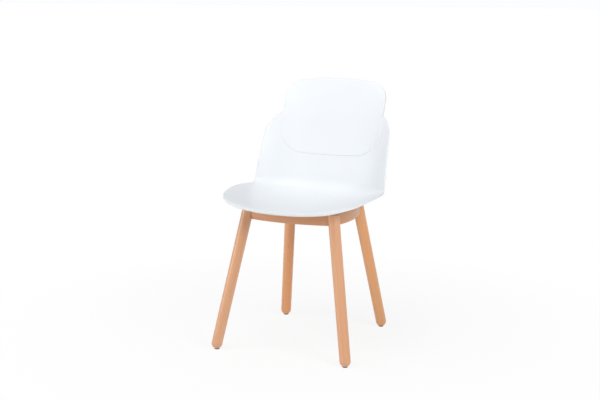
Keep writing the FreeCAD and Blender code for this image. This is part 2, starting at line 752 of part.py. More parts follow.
def seat_height(x, y):
    """Height of the seat: a dish that rises to the sides and the front, with a rolled front edge."""
    low_y = size("seat_low_y")
    run = (low_y - y) / (low_y - size("seat_front_y"))
    rise = size("seat_front_rise") * run * run
    roll_start = size("seat_roll_start")
    roll = max(0.0, (run - roll_start) / (1 - roll_start))
    drop = size("seat_front_roll") * roll ** 3
    dish = size("seat_side_rise") * (abs(x) / size("seat_half_width")) ** size("seat_dish_power")
    kept = 1 - size("seat_front_loss") * max(0.0, run) ** 2 + size("seat_rear_gain") * min(0.0, run) ** 2
    return SEAT_LOW + rise - drop + dish * kept


def back_depth(x, z):
    """Place of the back, fore and aft: a leaning middle line, wrapped forward towards the sides."""
    above = z - KNEE
    middle = size("back_foot_y") + size("back_lean") * above + size("back_curl") * above * above
    up = max(0.0, (z - SHOULDER_FOOT) / (TAB_TOP - SHOULDER_FOOT))
    wrap = size("back_wrap") * (1 - min(1.0, up) ** size("back_wrap_loss"))
    return middle - wrap * (abs(x) / SHOULDER_HALF) ** size("back_wrap_power")


def meeting_point(x):
    """Where seat and back would meet in a sharp corner, in the section at x."""
    y = size("back_foot_y")
    z = SEAT_LOW
    for _ in range(MEETING_ROUNDS):
        y = back_depth(x, z)
        z = seat_height(x, y)
    return y, z


class Section:
    """The section of the shell at x: seat, bend and back, with the bend as a conic arc."""

    def __init__(self, x):
        self.x = x
        aside = min(1.0, abs(x) / SHOULDER_HALF)
        radius = size("bend_radius") + (size("bend_radius_side") - size("bend_radius")) * aside ** 2
        y, z = meeting_point(x)
        reach = size("bend_reach") * radius
        self.seat_end = y - reach
        self.back_start = z + reach
        start = Vector(x, self.seat_end, seat_height(x, self.seat_end))
        end = Vector(x, back_depth(x, self.back_start), self.back_start)
        seat_rise = seat_height(x, self.seat_end) - seat_height(x, self.seat_end - 1)
        back_run = back_depth(x, self.back_start) - back_depth(x, self.back_start + 1)
        out = Vector(0, 1, seat_rise).normalize()
        down = Vector(0, back_run, -1).normalize()
        gap = end - start
        turn = out.y * down.z - out.z * down.y
        length = (gap.y * down.z - gap.z * down.y) / turn
        self.bend = (start, start + out * length, end)
        self.measure()

    def point(self, place):
        """Point at a place: 0 to 1 along the seat, 1 to 2 round the bend, 2 to 3 up the back."""
        if place <= 1:
            y = FRONT_LIMIT + (self.seat_end - FRONT_LIMIT) * place
            return Vector(self.x, y, seat_height(self.x, y))
        if place >= 2:
            z = self.back_start + (TOP_LIMIT - self.back_start) * (place - 2)
            return Vector(self.x, back_depth(self.x, z), z)
        share = place - 1
        first, corner, last = self.bend
        a = (1 - share) ** 2
        b = 2 * share * (1 - share) * CONIC_WEIGHT
        c = share ** 2
        return (first * a + corner * b + last * c) / (a + b + c)

    def measure(self):
        """Lengths along the section at even places."""
        self.lengths = [0.0]
        before = self.point(0.0)
        for step in range(1, 3 * MEASURES + 1):
            here = self.point(step / MEASURES)
            self.lengths.append(self.lengths[-1] + (here - before).Length)
            before = here

    def at_length(self, length):
        """Point at a length along the section."""
        low, high = 0, len(self.lengths) - 1
        while high - low > 1:
            middle = (low + high) // 2
            if self.lengths[middle] <= length:
                low = middle
            else:
                high = middle
        share = (length - self.lengths[low]) / (self.lengths[high] - self.lengths[low])
        return self.point((low + share) / MEASURES)

    def stations(self):
        """Points closer together near the bend, at the same shares in every section."""
        bend = self.lengths[3 * MEASURES // 2]
        back = self.lengths[-1] - bend
        shares = [math.sinh(CROWDING * step) / math.sinh(CROWDING) for step in even_steps(STEPS_SEAT)]
        lengths = [bend * (1 - share) for share in reversed(shares)]
        shares = [math.sinh(CROWDING * step) / math.sinh(CROWDING) for step in even_steps(STEPS_BACK)]
        lengths.extend(bend + back * share for share in shares[1:])
        return [self.at_length(length) for length in lengths]


def even_steps(count):
    return [step / count for step in range(count + 1)]


FRONT_LIMIT = size("seat_front_y") - SIDE_MARGIN
TOP_LIMIT = TAB_TOP + TOP_MARGIN
SIDE_LIMIT = size("seat_half_width") + SIDE_MARGIN


def surface_grid():
    """Points of the sitter's side of the shell, and its outward normals, across and along."""
    lanes = [SIDE_LIMIT * (2.0 * step - 1) for step in even_steps(STEPS_ACROSS)]
    points = []
    normals = []
    nudge = 0.5
    for x in lanes:
        row = Section(x).stations()
        side_row = Section(x + nudge).stations()
        normal_row = []
        last = len(row) - 1
        for index in range(len(row)):
            forward = row[min(last, index + 1)] - row[max(0, index - 1)]
            sideways = side_row[index] - row[index]
            normal_row.append(forward.cross(sideways).normalize())
        points.append(row)
        normals.append(normal_row)
    return points, normals


points, normals = surface_grid()


def skin_face(first, last, depth, lanes):
    """Spline face through the stations from first to last, pushed out by a depth at each station."""
    stations = range(first, last + 1)
    grid = [[points[lane][index] + normals[lane][index] * depth(index) for index in stations]
            for lane in lanes]
    surface = Part.BSplineSurface()
    surface.interpolate(grid)
    return surface.toShape()


def closed_between(name, inside, outside):
    """Closed solid between two like faces, with ruled faces round its edge."""
    faces = [inside, outside]
    for inner_edge, outer_edge in zip(inside.Edges, outside.Edges):
        faces.append(Part.makeRuledSurface(inner_edge, outer_edge))
    hull = Part.makeShell(faces)
    hull.sewShape()
    solid = Part.makeSolid(hull)
    if solid.Volume < 0:
        solid.reverse()
    item = doc.addObject("Part::Feature", name)
    item.Shape = solid
    item.Placement = Placement()
    return item


def slab(name, first, last, inner, outer, fewer=0):
    """Closed solid between two faces pushed out from the moulded surface, narrower by some lanes."""
    lanes = range(fewer, len(points) - fewer)
    return closed_between(name, skin_face(first, last, inner, lanes), skin_face(first, last, outer, lanes))


def space_above(name, first, last, depth, lift):
    """Everything over the moulded surface, up to a height."""
    floor = skin_face(first, last, depth, range(len(points)))
    ceiling = floor.copy()
    ceiling.translate(Vector(0, 0, lift))
    return closed_between(name, floor, ceiling)


LAST = STEPS_SEAT + STEPS_BACK
PANEL_FIRST = STEPS_SEAT + STEPS_BACK // 4
RIM_FADE_FIRST = 1
RIM_FADE_LAST = 6
PANEL_LANES = 2
BOSS_LAST = STEPS_SEAT + 5
BOSS_BLANK = 45.0      # height of a boss before it is cut to the skin


def rim_depth(index):
    """Depth of the rim below the sitter's side: turned down at the front, a little over the skin else."""
    fade = min(1.0, max(0.0, (index - RIM_FADE_FIRST) / (RIM_FADE_LAST - RIM_FADE_FIRST)))
    full = size("rim_depth")
    least = size("skin") + size("rim_extra")
    return full + (least - full) * fade * fade * (3 - 2 * fade)


def inside_outlines(name, item, inset):
    """The part of a solid inside both outlines of the shell, moved in by an inset."""
    from_above = boolean("Common", name + "_from_above", item, make_seat_outline(name + "_seat", inset))
    return boolean("Common", name, from_above, make_back_outline(name + "_back", inset))


def make_shell():
    """The whole moulding in one piece: a blank as thick as its rim, with the raised head panel,

    trimmed to its outlines, hollowed to the skin inside the rim, with bosses under the seat."""
    core = size("skin") / 2
    relief = size("panel_relief")
    blank = slab("blank", 0, LAST, lambda index: 0.0, rim_depth)
    panel = slab("panel_slab", PANEL_FIRST, LAST - 1, lambda index: -relief, lambda index: core, PANEL_LANES)
    panel_in = boolean("Common", "panel", panel, make_panel_outline("panel_outline"))
    with_panel = fuse("blank_with_panel", [blank, panel_in])
    trimmed = inside_outlines("trimmed", with_panel, 0.0)
    hollow = slab("hollow_slab", 0, LAST, lambda index: size("skin"), lambda index: rim_depth(index) + core)
    hollow_in = inside_outlines("hollow", hollow, size("rim_wall"))
    hollowed = cut("hollowed", trimmed, [hollow_in])
    above = space_above("above_skin", 0, BOSS_LAST, lambda index: core, 2 * BOSS_BLANK)
    bosses = []
    holes = []
    for number, point in enumerate(bolt_axes, start=1):
        bosses.extend(make_boss("boss_%d" % number, point, above))
        place = Placement(Vector(point.x, point.y, BOSS_FACE), Rotation())
        holes.append(cylinder("insert_hole_%d" % number, cell("insert_radius"), cell("insert_length"), place))
    both_bosses = bosses + [mirrored(item.Name + "_right", item) for item in bosses]
    both_holes = holes + [mirrored(item.Name + "_right", item) for item in holes]
    moulding = fuse("moulding", [hollowed] + both_bosses)
    return cut("seat_shell", moulding, both_holes)


def make_boss(name, point, above):
    """Round boss with two crossed ribs, from the boss face up into the skin."""
    post = cylinder(name + "_post", cell("boss_radius"), "%r" % BOSS_BLANK,
                    Placement(Vector(point.x, point.y, BOSS_FACE), Rotation()))
    blanks = [post]
    for turn in (0, 90):
        rib = doc.addObject("Part::Box", "%s_rib_%d" % (name, turn))
        bind(rib, Length="2 * Sizes.rib_reach", Width=cell("rib_thickness"))
        rib.Height = BOSS_BLANK
        corner = Vector(-size("rib_reach"), -size("rib_thickness") / 2, 0)
        turning = Rotation(Vector(0, 0, 1), turn + 45)
        lift = Vector(0, 0, size("spacer_height"))
        foot = Vector(point.x, point.y, BOSS_FACE) + lift
        rib.Placement = Placement(foot + turning.multVec(corner), turning)
        blanks.append(rib)
    return [boolean("Cut", name, fuse(name + "_blank", blanks), above)]


# The frame

front_envelope = make_leg_envelope("front", front_leg_axis)
rear_envelope = make_leg_envelope("rear", rear_leg_axis)
dowels = make_all_dowels("dowel", False)
dowel_holes = make_all_dowels("dowel_hole", True)
screw_holes = {name: make_wood_screws(name + "_screw_hole", corner, True)
               for name, corner in corners.items()}


def make_leg(end, leg, hole_keys):
    name = end + "_left_leg"
    lap = size("leg_head_radius")
    under = 2 * size("leg_foot_radius")
    centre = glide_centre(leg)
    pin_foot = Placement(centre + Vector(0, 0, size("glide_height") - PASS_THROUGH), Rotation())
    pin = cylinder(name + "_pin_hole", cell("glide_pin_radius"),
                   "Sizes.glide_pin_depth + 2 * %r" % PASS_THROUGH, pin_foot, " + Sizes.glue_gap")
    tools = [level_cutter(name + "_top_cutter", leg.head, leg.head.z, 4 * lap),
             level_cutter(name + "_foot_cutter", leg.foot, size("glide_height") - under, under), pin]
    for key in hole_keys:
        tools.extend(dowel_holes[key])
    return cut(name, make_leg_blank(end, leg), tools)


def make_rail(name, bow, ends, tools):
    """Rail cut to the legs at its ends, then drilled for dowels and wood screws."""
    fitted = cut(name + "_fitted", make_rail_blank(name, bow), ends)
    return cut(name, fitted, tools)


def both_sides(items):
    return items + [mirrored(item.Name + "_right", item) for item in items]


front_left_leg = make_leg("front", front_leg_axis, ("front_rail", "left_rail_front"))
rear_left_leg = make_leg("rear", rear_leg_axis, ("rear_rail", "left_rail_rear"))
front_screw_hole = screw_holes["front_left"][0]
rear_screw_hole = screw_holes["rear_left"][0]
front_rail = make_rail("front_rail", front_bow, both_sides([front_envelope]),
                       both_sides(dowel_holes["front_rail"] + [front_screw_hole]))
rear_rail = make_rail("rear_rail", rear_bow, both_sides([rear_envelope]),
                      both_sides(dowel_holes["rear_rail"] + [rear_screw_hole]))
cross_rails = [make_rail_envelope("front_rail_space", front_bow),
               make_rail_envelope("rear_rail_space", rear_bow)]
left_rail = make_rail("left_rail", left_bow, [front_envelope, rear_envelope] + cross_rails,
                      dowel_holes["left_rail_front"] + dowel_holes["left_rail_rear"]
                      + [screw_holes["front_left"][1], screw_holes["rear_left"][1]])


def make_block(name, end, corner, cross_rail, leg_envelope, bolt_axis):
    """Corner block cut to its two rails and its leg, with the holes of its screws."""
    bolt_foot = Placement(Vector(bolt_axis.x, bolt_axis.y, WASHER_TOP - PASS_THROUGH), Rotation())
    bolt_hole = cylinder(name + "_bolt_hole", cell("bolt_radius"),
                         "Sizes.block_height + 2 * %r" % PASS_THROUGH, bolt_foot, " + Sizes.screw_play")
    blank = make_block_blank(name, corner)
    fitted = cut(name + "_fitted", blank, [cross_rail, side_rail, leg_envelope])
    return cut(name, fitted, [bolt_hole] + screw_holes[end + "_left"])


side_rail = make_rail_envelope("left_rail_space", left_bow)
front_left_block = make_block("front_left_corner_block", "front", corners["front_left"],
                              cross_rails[0], front_envelope, bolt_axes[0])
rear_left_block = make_block("rear_left_corner_block", "rear", corners["rear_left"],
                             cross_rails[1], rear_envelope, bolt_axes[1])
front_left_glide = make_glide("front_left_glide", front_leg_axis)
rear_left_glide = make_glide("rear_left_glide", rear_leg_axis)

# Fasteners, each kind in one group

wood_screws = []
for place, ring_corner in corners.items():
    wood_screws.extend(make_wood_screws(place + "_wood_screw", ring_corner, False))
bolts = []
washers = []
spacers = []
inserts = []
for place, axis in zip(("front", "rear"), bolt_axes):
    bolts.append(make_bolt(place + "_bolt", axis))
    washers.append(ring(place + "_washer", cell("washer_radius"), cell("bolt_radius"), cell("washer_height"),
                        axis, WASHER_TOP - size("washer_height"), " + Sizes.screw_play"))
    spacers.append(ring(place + "_spacer", cell("spacer_radius"), cell("bolt_radius"), cell("spacer_height"),
                        axis, BLOCK_TOP, " + Sizes.screw_play"))
    inserts.append(ring(place + "_insert", cell("insert_radius"), cell("bolt_radius"), cell("insert_length"),
                        axis, BOSS_FACE, " + Sizes.glue_gap"))

all_dowels = [item for pair in dowels.values() for item in pair]

PIECES = [
    make_shell(),
    front_left_leg, mirrored("front_right_leg", front_left_leg),
    rear_left_leg, mirrored("rear_right_leg", rear_left_leg),
    front_rail, rear_rail,
    left_rail, mirrored("right_rail", left_rail),
    front_left_block, mirrored("front_right_corner_block", front_left_block),
    rear_left_block, mirrored("rear_right_corner_block", rear_left_block),
    front_left_glide, mirrored("front_right_glide", front_left_glide),
    rear_left_glide, mirrored("rear_right_glide", rear_left_glide),
    compound("rail_dowels", both_sides(all_dowels)),
    compound("corner_block_screws", both_sides(wood_screws)),
    compound("shell_bolts", both_sides(bolts)),
    compound("shell_bolt_washers", both_sides(washers)),
    compound("shell_spacers", both_sides(spacers)),
    compound("threaded_inserts", both_sides(inserts)),
]

doc.recompute()

# Checks, then one file for each piece

failed = [item.Name for item in doc.Objects if "Invalid" in item.State or "Error" in item.State]
if failed:
    raise RuntimeError("did not build: " + ", ".join(failed))
for piece in PIECES:
    if piece.Shape.isNull() or not piece.Shape.isValid():
        raise RuntimeError("%s has no valid shape" % piece.Label)

os.makedirs("parts", exist_ok=True)
for piece in PIECES:
    piece.Shape.exportStep(os.path.join("parts", piece.Label + ".step"))
    box = piece.Shape.BoundBox
    print("%-26s %2d solid(s) %10.0f mm3   x %7.1f %7.1f  y %7.1f %7.1f  z %6.1f %6.1f" % (
        piece.Label, len(piece.Shape.Solids), piece.Shape.Volume,
        box.XMin, box.XMax, box.YMin, box.YMax, box.ZMin, box.ZMax))
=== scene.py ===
import math

import bmesh
import bpy
import numpy as np
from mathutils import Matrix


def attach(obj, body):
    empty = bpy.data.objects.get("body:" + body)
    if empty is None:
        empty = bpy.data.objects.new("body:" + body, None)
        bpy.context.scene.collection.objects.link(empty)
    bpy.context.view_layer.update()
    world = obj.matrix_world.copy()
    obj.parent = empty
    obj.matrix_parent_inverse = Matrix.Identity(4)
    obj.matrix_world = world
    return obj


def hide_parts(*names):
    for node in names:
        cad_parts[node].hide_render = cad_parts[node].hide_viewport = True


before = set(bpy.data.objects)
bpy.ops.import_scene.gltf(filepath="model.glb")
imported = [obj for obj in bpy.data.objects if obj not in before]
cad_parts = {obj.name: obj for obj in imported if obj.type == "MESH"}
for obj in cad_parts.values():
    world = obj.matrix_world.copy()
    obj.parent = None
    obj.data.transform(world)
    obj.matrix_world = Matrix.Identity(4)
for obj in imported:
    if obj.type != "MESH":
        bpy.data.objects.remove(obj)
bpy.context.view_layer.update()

# Moulded shell chair: its visible pieces, their finishes, and the studio round them.
#
# The shape functions work in millimetres, in the frame of the CAD part: the floor is z = 0, the
# sitter faces -y and the sitter's left hand is on +x. Meshes are written in metres.

MM = 0.001

# Sizes of the chair, as in the CAD part

FRAME_TOP = 440.0
LEGS = {"front": ((217.0, -232.3), (140.9, -147.0)), "rear": ((174.8, 202.3), (114.3, 114.2))}
LEG_FOOT_RADIUS = 16.8
LEG_HEAD_RADIUS = 17.8
GLIDE_RADIUS = 8.0
GLIDE_HEIGHT = 3.0
RAIL_HEIGHT = 34.5
RAIL_THICKNESS = 20.0
RAIL_ROUNDING = 2.5
RAIL_SETBACK = 6.0
BOWS = {"front_rail": 21.0, "left_rail": 29.0, "rear_rail": 16.0, "right_rail": 29.0}
RAIL_IN_LEG = 13.0           # how far a rail's end lies inside its leg
BOSS_FACE = 438.0
BOSS_RADIUS = 11.0
BOSSES = ((115.25, -121.36), (94.31, 90.62))
RIB_REACH = 24.0
RIB_THICKNESS = 2.6
BOSS_CHAMFER = 0.5
INSERT_RADIUS = 4.2
INSERT_LENGTH = 7.5
RIB_LIFT = 2.0               # foot of the ribs over the face of their boss

SKIN = 4.0
SEAT_LOW = 443.0
SEAT_LOW_Y = 20.0
SEAT_FRONT_RISE = 10.5
SEAT_FRONT_ROLL = 6.0
SEAT_ROLL_START = 0.76
SEAT_SIDE_RISE = 40.8
SEAT_DISH_POWER = 2.2
SEAT_FRONT_LOSS = 0.34
SEAT_REAR_GAIN = 3.0
SEAT_HALF = 242.2
SEAT_WIDEST_Y = -41.0
SEAT_FRONT_Y = -228.0
SEAT_SIDE_RADIUS = 372.0
SEAT_REAR_RADIUS = 282.0
SEAT_CORNER_RADIUS = 111.0
SEAT_FRONT_RADIUS = 1600.0
REAR_CORNER_SPARE = 0.2      # the seat's rear corner lies this far outside the shoulder's foot
BACK_FOOT_Y = 140.0
BACK_KNEE = 500.0
BACK_LEAN = 0.28
BACK_CURL = 0.00015
BACK_WRAP = 70.0
BACK_WRAP_POWER = 3.5
BACK_WRAP_LOSS = 2.7
BEND_RADIUS = 66.0
BEND_RADIUS_SIDE = 14.0
BEND_REACH = 0.76
BEND_FULLNESS = 0.8
SHOULDER_HALF = 222.6
SHOULDER_FOOT = 483.3
SHOULDER_LEAN = math.radians(3.0)
SHOULDER_RADIUS = 78.0
NOTCH = 700.5
TAB_HALF = 175.0
TAB_CORNER_RADIUS = 58.0
TAB_TOP = 811.0
TAB_TOP_RADIUS = 850.0
PANEL_RELIEF = 1.8
PANEL_FOOT = 568.0
PANEL_CORNER_RADIUS = 88.0
PANEL_FOOT_RADIUS = 1600.0
RIM_DEPTH = 8.5
RIM_DEPTH_SIDE = 4.5
RIM_WALL = 4.5
RIM_FADE_Y = -212.0          # where the rim's full depth ends, and over how much it fades
RIM_FADE_LENGTH = 122.0
RIM_UPPER_ROUNDING = 1.7
RIM_LOWER_ROUNDING = 1.5
RIM_INNER_ROUNDING = 1.0
LIP_ROUNDING = 0.9
LIP_INSET = 0.03             # keeps the panel's lip off the shell's own edge

# Where a grid over the shell turns its corners, and how fine it is

FRONT_POINTS = 241           # points of the seat's outline among which the front corner is looked for
FRONT_CORNER_X = 203.0
TAB_SIDE_POINTS = 70         # points of the tab's outline that belong to the side of a grid
SHELL_HALF_COLUMNS = 56
SHELL_ROW_STEP = 4.1
PANEL_HALF_COLUMNS = 40
PANEL_ROWS = 76
MIRROR = np.array([-1.0, 1.0])

# How fine the other pieces are

LEG_SIDES = 72
LEG_DOME_RINGS = 14
LEG_CONE_RINGS = 60
LEG_TOP_CHAMFER = 0.7
BOSS_SIDES = 40
RIB_STATIONS = 17
RAIL_STEPS = 60

# Where each leg and rail lies in the plank that its grain comes from

GRAIN_SHIFTS = {
    "front_left_leg": (31, 12, 0), "front_right_leg": (-44, 25, 700),
    "rear_left_leg": (18, -57, 1500), "rear_right_leg": (52, 41, 2300),
    "front_rail": (70, 9, 3100), "left_rail": (25, 30, 3900),
    "rear_rail": (-60, 15, 4700), "right_rail": (-35, -22, 5500)}


# Meshes

def add_piece(name, points, faces):
    """Makes a smooth mesh object at the origin from points in millimetres and a list of faces."""
    mesh = bpy.data.meshes.new(name)
    mesh.from_pydata((np.asarray(points) * MM).tolist(), [], faces)
    mesh.validate()
    mesh.polygons.foreach_set("use_smooth", [True] * len(mesh.polygons))
    piece = bpy.data.objects.new(name, mesh)
    bpy.context.scene.collection.objects.link(piece)
    return piece


def grid_faces(rows, columns, wrap=False):
    """Quads between neighbouring rows of a grid; wrap joins the last column to the first."""
    lanes = np.arange(columns if wrap else columns - 1)
    row = np.arange(rows - 1)[:, None] * columns
    here = row + lanes[None, :]
    side = row + ((lanes + 1) % columns)[None, :]
    quads = np.stack([here, side, side + columns, here + columns], axis=-1)
    return quads.reshape(-1, 4).tolist()


def tube_faces(rings, sides):
    """Faces of a closed tube: quads between its rings, and a face over each end."""
    last = (rings - 1) * sides
    return grid_faces(rings, sides, wrap=True) + [list(range(sides))[::-1],
                                                  list(range(last, last + sides))]


def face_outwards(piece):
    """Turns all faces of a closed mesh outwards and keeps its real edges crisp."""
    work = bmesh.new()
    work.from_mesh(piece.data)
    bmesh.ops.recalc_face_normals(work, faces=work.faces)
    work.to_mesh(piece.data)
    work.free()
    piece.data.set_sharp_from_angle(angle=math.radians(38))


def store_grain(piece, grain):
    """Keeps, on each vertex, where it lies in the plank: across, through and along.

    The grain comes in millimetres and is kept in metres."""
    layer = piece.data.attributes.new("grain", "FLOAT_VECTOR", "POINT")
    layer.data.foreach_set("vector", (np.asarray(grain) * MM).ravel())


# The moulded surface: a seat, a bend and a back in each section at x

def seat_height(x, y):
    """Dish: low + rise towards the front - rolled edge + a power of x, fading to the front."""
    run = (SEAT_LOW_Y - y) / (SEAT_LOW_Y - SEAT_FRONT_Y)
    roll = np.maximum(0.0, (run - SEAT_ROLL_START) / (1 - SEAT_ROLL_START))
    dish = SEAT_SIDE_RISE * (np.abs(x) / SEAT_HALF) ** SEAT_DISH_POWER
    kept = (1 - SEAT_FRONT_LOSS * np.maximum(0.0, run) ** 2
            + SEAT_REAR_GAIN * np.minimum(0.0, run) ** 2)
    return SEAT_LOW + SEAT_FRONT_RISE * run ** 2 - SEAT_FRONT_ROLL * roll ** 3 + dish * kept


def back_depth(x, z):
    """Leaning line with a slight curl, less a wrap that grows with a power of x."""
    above = z - BACK_KNEE
    middle = BACK_FOOT_Y + BACK_LEAN * above + BACK_CURL * above ** 2
    up = np.clip((z - SHOULDER_FOOT) / (TAB_TOP - SHOULDER_FOOT), 0.0, 1.0)
    wrap = BACK_WRAP * (1 - up ** BACK_WRAP_LOSS)
    return middle - wrap * (np.abs(x) / SHOULDER_HALF) ** BACK_WRAP_POWER


# The surface runs on to here, past its outline
FRONT_LIMIT = SEAT_FRONT_Y - 12.0
TOP_LIMIT = TAB_TOP + 45.0


def section_ends(x):
    """Where the seat ends and the back starts at x, found by bringing the two together."""
    z = np.full_like(x, SEAT_LOW)
    for _ in range(60):
        y = back_depth(x, z)
        z = seat_height(x, y)
    aside = np.minimum(1.0, np.abs(x) / SHOULDER_HALF)
    reach = BEND_REACH * (BEND_RADIUS + (BEND_RADIUS_SIDE - BEND_RADIUS) * aside ** 2)
    return y - reach, z + reach


def shell_point(x, place):
    """Point of the sitter's side: place 0 to 1 is the seat, 1 to 2 the bend, 2 to 3 the back.

    The bend is a conic between both ends, whose corner is where the two end tangents meet."""
    seat_end, back_start = section_ends(x)
    end_z = seat_height(x, seat_end)
    start_y = back_depth(x, back_start)
    slope_out = end_z - seat_height(x, seat_end - 1)
    slope_down = start_y - back_depth(x, back_start + 1)
    gap_y = start_y - seat_end
    gap_z = back_start - end_z
    length = (-gap_y - gap_z * slope_down) / (-1 - slope_out * slope_down)
    corner_y = seat_end + length
    corner_z = end_z + length * slope_out
    along = np.clip(place, 0.0, 1.0)
    up = np.clip(place - 2, 0.0, 1.0)
    y_seat = FRONT_LIMIT + (seat_end - FRONT_LIMIT) * along
    z_back = back_start + (TOP_LIMIT - back_start) * up
    share = np.clip(place - 1, 0.0, 1.0)
    first = (1 - share) ** 2
    second = 2 * share * (1 - share) * BEND_FULLNESS
    third = share ** 2
    whole = first + second + third
    y_bend = (seat_end * first + corner_y * second + start_y * third) / whole
    z_bend = (end_z * first + corner_z * second + back_start * third) / whole
    y = np.where(place < 1, y_seat, np.where(place > 2, back_depth(x, z_back), y_bend))
    z = np.where(place < 1, seat_height(x, y_seat), np.where(place > 2, z_back, z_bend))
    return np.stack([x, y, z], axis=-1)


def shell_slopes(x, place):
    """Derivatives of the surface across and along, by central differences."""
    wide, small = 0.5, 0.002
    across = (shell_point(x + wide, place) - shell_point(x - wide, place)) / (2 * wide)
    along = (shell_point(x, place + small) - shell_point(x, place - small)) / (2 * small)
    return across, along


def unit(vectors):
    return vectors / np.linalg.norm(vectors, axis=-1, keepdims=True)


def shell_normal(x, place):
    """Normal away from the sitter, towards the underside and the rear."""
    across, along = shell_slopes(x, place)
    return unit(np.cross(along, across))


def march(x, place, direction, distance, steps=8):
    """Walks over the surface from a point, keeping its heading, and returns where it ends."""
    heading = direction
    for _ in range(steps):
        across, along = shell_slopes(x, place)
        aa = (across * across).sum(-1)
        ab = (across * along).sum(-1)
        bb = (along * along).sum(-1)
        ha = (heading * across).sum(-1)
        hb = (heading * along).sum(-1)
        det = aa * bb - ab * ab
        dx = (ha * bb - hb * ab) / det
        dp = (hb * aa - ha * ab) / det
        moved = across * dx[:, None] + along * dp[:, None]
        size = distance / steps / np.linalg.norm(moved, axis=-1)
        x = x + dx * size
        place = place + dp * size
        heading = unit(moved)
    return x, place


# Outline of the shell, on the sitter's left half from the front to the top

def arc_points(centre, radius, first, last, count):
    """Points on an arc from one heading to another, in radians."""
    turn = np.linspace(first, last, count)
    return np.stack([centre[0] + radius * np.cos(turn), centre[1] + radius * np.sin(turn)], axis=-1)


def heading_of(centre, point):
    """Direction from one point to another, in radians."""
    return math.atan2(point[1] - centre[1], point[0] - centre[0])


def touching_circle(first, first_radius, second, second_radius, radius):
    """Centre of a circle that touches two larger circles from inside, on their left side."""
    a = first_radius - radius
    b = second_radius - radius
    span = np.subtract(second, first)
    reach = np.hypot(*span)
    ahead = (a * a - b * b + reach * reach) / (2 * reach)
    aside = math.sqrt(a * a - ahead * ahead)
    way = span / reach
    return np.asarray(first) + way * ahead + np.array([-way[1], way[0]]) * aside


def place_where(x, axis, value, low, high):
    """Place between two others at which the surface reaches a value on an axis, found by halving."""
    low = np.full_like(x, low)
    high = np.full_like(x, high)
    for _ in range(40):
        middle = (low + high) / 2
        under = shell_point(x, middle)[:, axis] < value
        low = np.where(under, middle, low)
        high = np.where(under, high, middle)
    return (low + high) / 2


def place_on_seat(x, y):
    """Place of the seat at a depth y, also where it runs into the bend."""
    return place_where(x, 1, y, 0.0, 1.6)


def place_at_height(x, z):
    """Place at a height z in the bend or the back."""
    return place_where(x, 2, z, 0.9, 3.0)


def on_back(run):
    """A run of the front view, as x and height, turned into x and place."""
    return np.stack([run[:, 0], place_at_height(run[:, 0], run[:, 1])], axis=-1)


def seat_outline():
    """Plan of the seat from the middle of its front to its rear corner: four arcs that run on."""
    side = (SEAT_HALF - SEAT_SIDE_RADIUS, SEAT_WIDEST_Y)
    rear = (SEAT_HALF - SEAT_REAR_RADIUS, SEAT_WIDEST_Y)
    front = (0.0, SEAT_FRONT_Y + SEAT_FRONT_RADIUS)
    corner = touching_circle(front, SEAT_FRONT_RADIUS, side, SEAT_SIDE_RADIUS, SEAT_CORNER_RADIUS)
    join_front = heading_of(front, corner)
    join_side = heading_of(side, corner)
    rear_end = math.acos((SHOULDER_HALF + REAR_CORNER_SPARE - rear[0]) / SEAT_REAR_RADIUS)
    return np.concatenate([
        arc_points(front, SEAT_FRONT_RADIUS, -math.pi / 2, join_front, 120),
        arc_points(corner, SEAT_CORNER_RADIUS, join_front, join_side, 120)[1:],
        arc_points(side, SEAT_SIDE_RADIUS, join_side, 0.0, 100)[1:],
        arc_points(rear, SEAT_REAR_RADIUS, 0.0, rear_end, 160)[1:]])


def back_outline():
    """Front view of the back in two runs: from its foot to the notch, and on to the top's middle."""
    up_side = np.array([-math.sin(SHOULDER_LEAN), math.cos(SHOULDER_LEAN)])
    into_side = np.array([-math.cos(SHOULDER_LEAN), -math.sin(SHOULDER_LEAN)])
    foot = np.array([SHOULDER_HALF, SHOULDER_FOOT])
    notch = np.array([TAB_HALF, NOTCH])
    across = (notch - foot) @ into_side - SHOULDER_RADIUS
    run = (notch - foot) @ up_side - math.sqrt(SHOULDER_RADIUS ** 2 - across ** 2)
    shoulder = foot + up_side * run + into_side * SHOULDER_RADIUS
    side_end = foot + up_side * run
    crown = (0.0, TAB_TOP - TAB_TOP_RADIUS)
    tab_x = TAB_HALF - TAB_CORNER_RADIUS
    tab_z = crown[1] + math.sqrt((TAB_TOP_RADIUS - TAB_CORNER_RADIUS) ** 2 - tab_x ** 2)
    tab = (tab_x, tab_z)
    crown_join = heading_of(crown, tab)
    side_line = foot + np.linspace(0, 1, 90)[:, None] * (side_end - foot)
    tab_line = notch + np.linspace(0, 1, 30)[:, None] * (np.array([TAB_HALF, tab_z]) - notch)
    shoulder_arc = arc_points(shoulder, SHOULDER_RADIUS, heading_of(shoulder, side_end),
                              heading_of(shoulder, notch), 100)
    lower = np.concatenate([side_line, shoulder_arc[1:]])
    upper = np.concatenate([tab_line[1:],
                            arc_points(tab, TAB_CORNER_RADIUS, 0.0, crown_join, 80)[1:],
                            arc_points(crown, TAB_TOP_RADIUS, crown_join, math.pi / 2, 100)[1:]])
    return lower, upper


def shell_edge():
    """Edge of the shell as x and place, in three runs: the seat, up to the notch, up to the top."""
    plan = seat_outline()
    seat_x = plan[:, 0]
    seat_place = place_on_seat(seat_x, plan[:, 1])
    step_place = place_at_height(seat_x, np.full_like(seat_x, SHOULDER_FOOT))
    seat_place = np.where(plan[:, 1] > SEAT_WIDEST_Y, np.minimum(seat_place, step_place), seat_place)
    lower, upper = back_outline()
    return np.stack([seat_x, seat_place], axis=-1), on_back(lower), on_back(upper)


def step_lengths(points):
    return np.linalg.norm(np.diff(points, axis=0), axis=-1)


def running_total(steps):
    return np.concatenate([[0.0], np.cumsum(steps)])


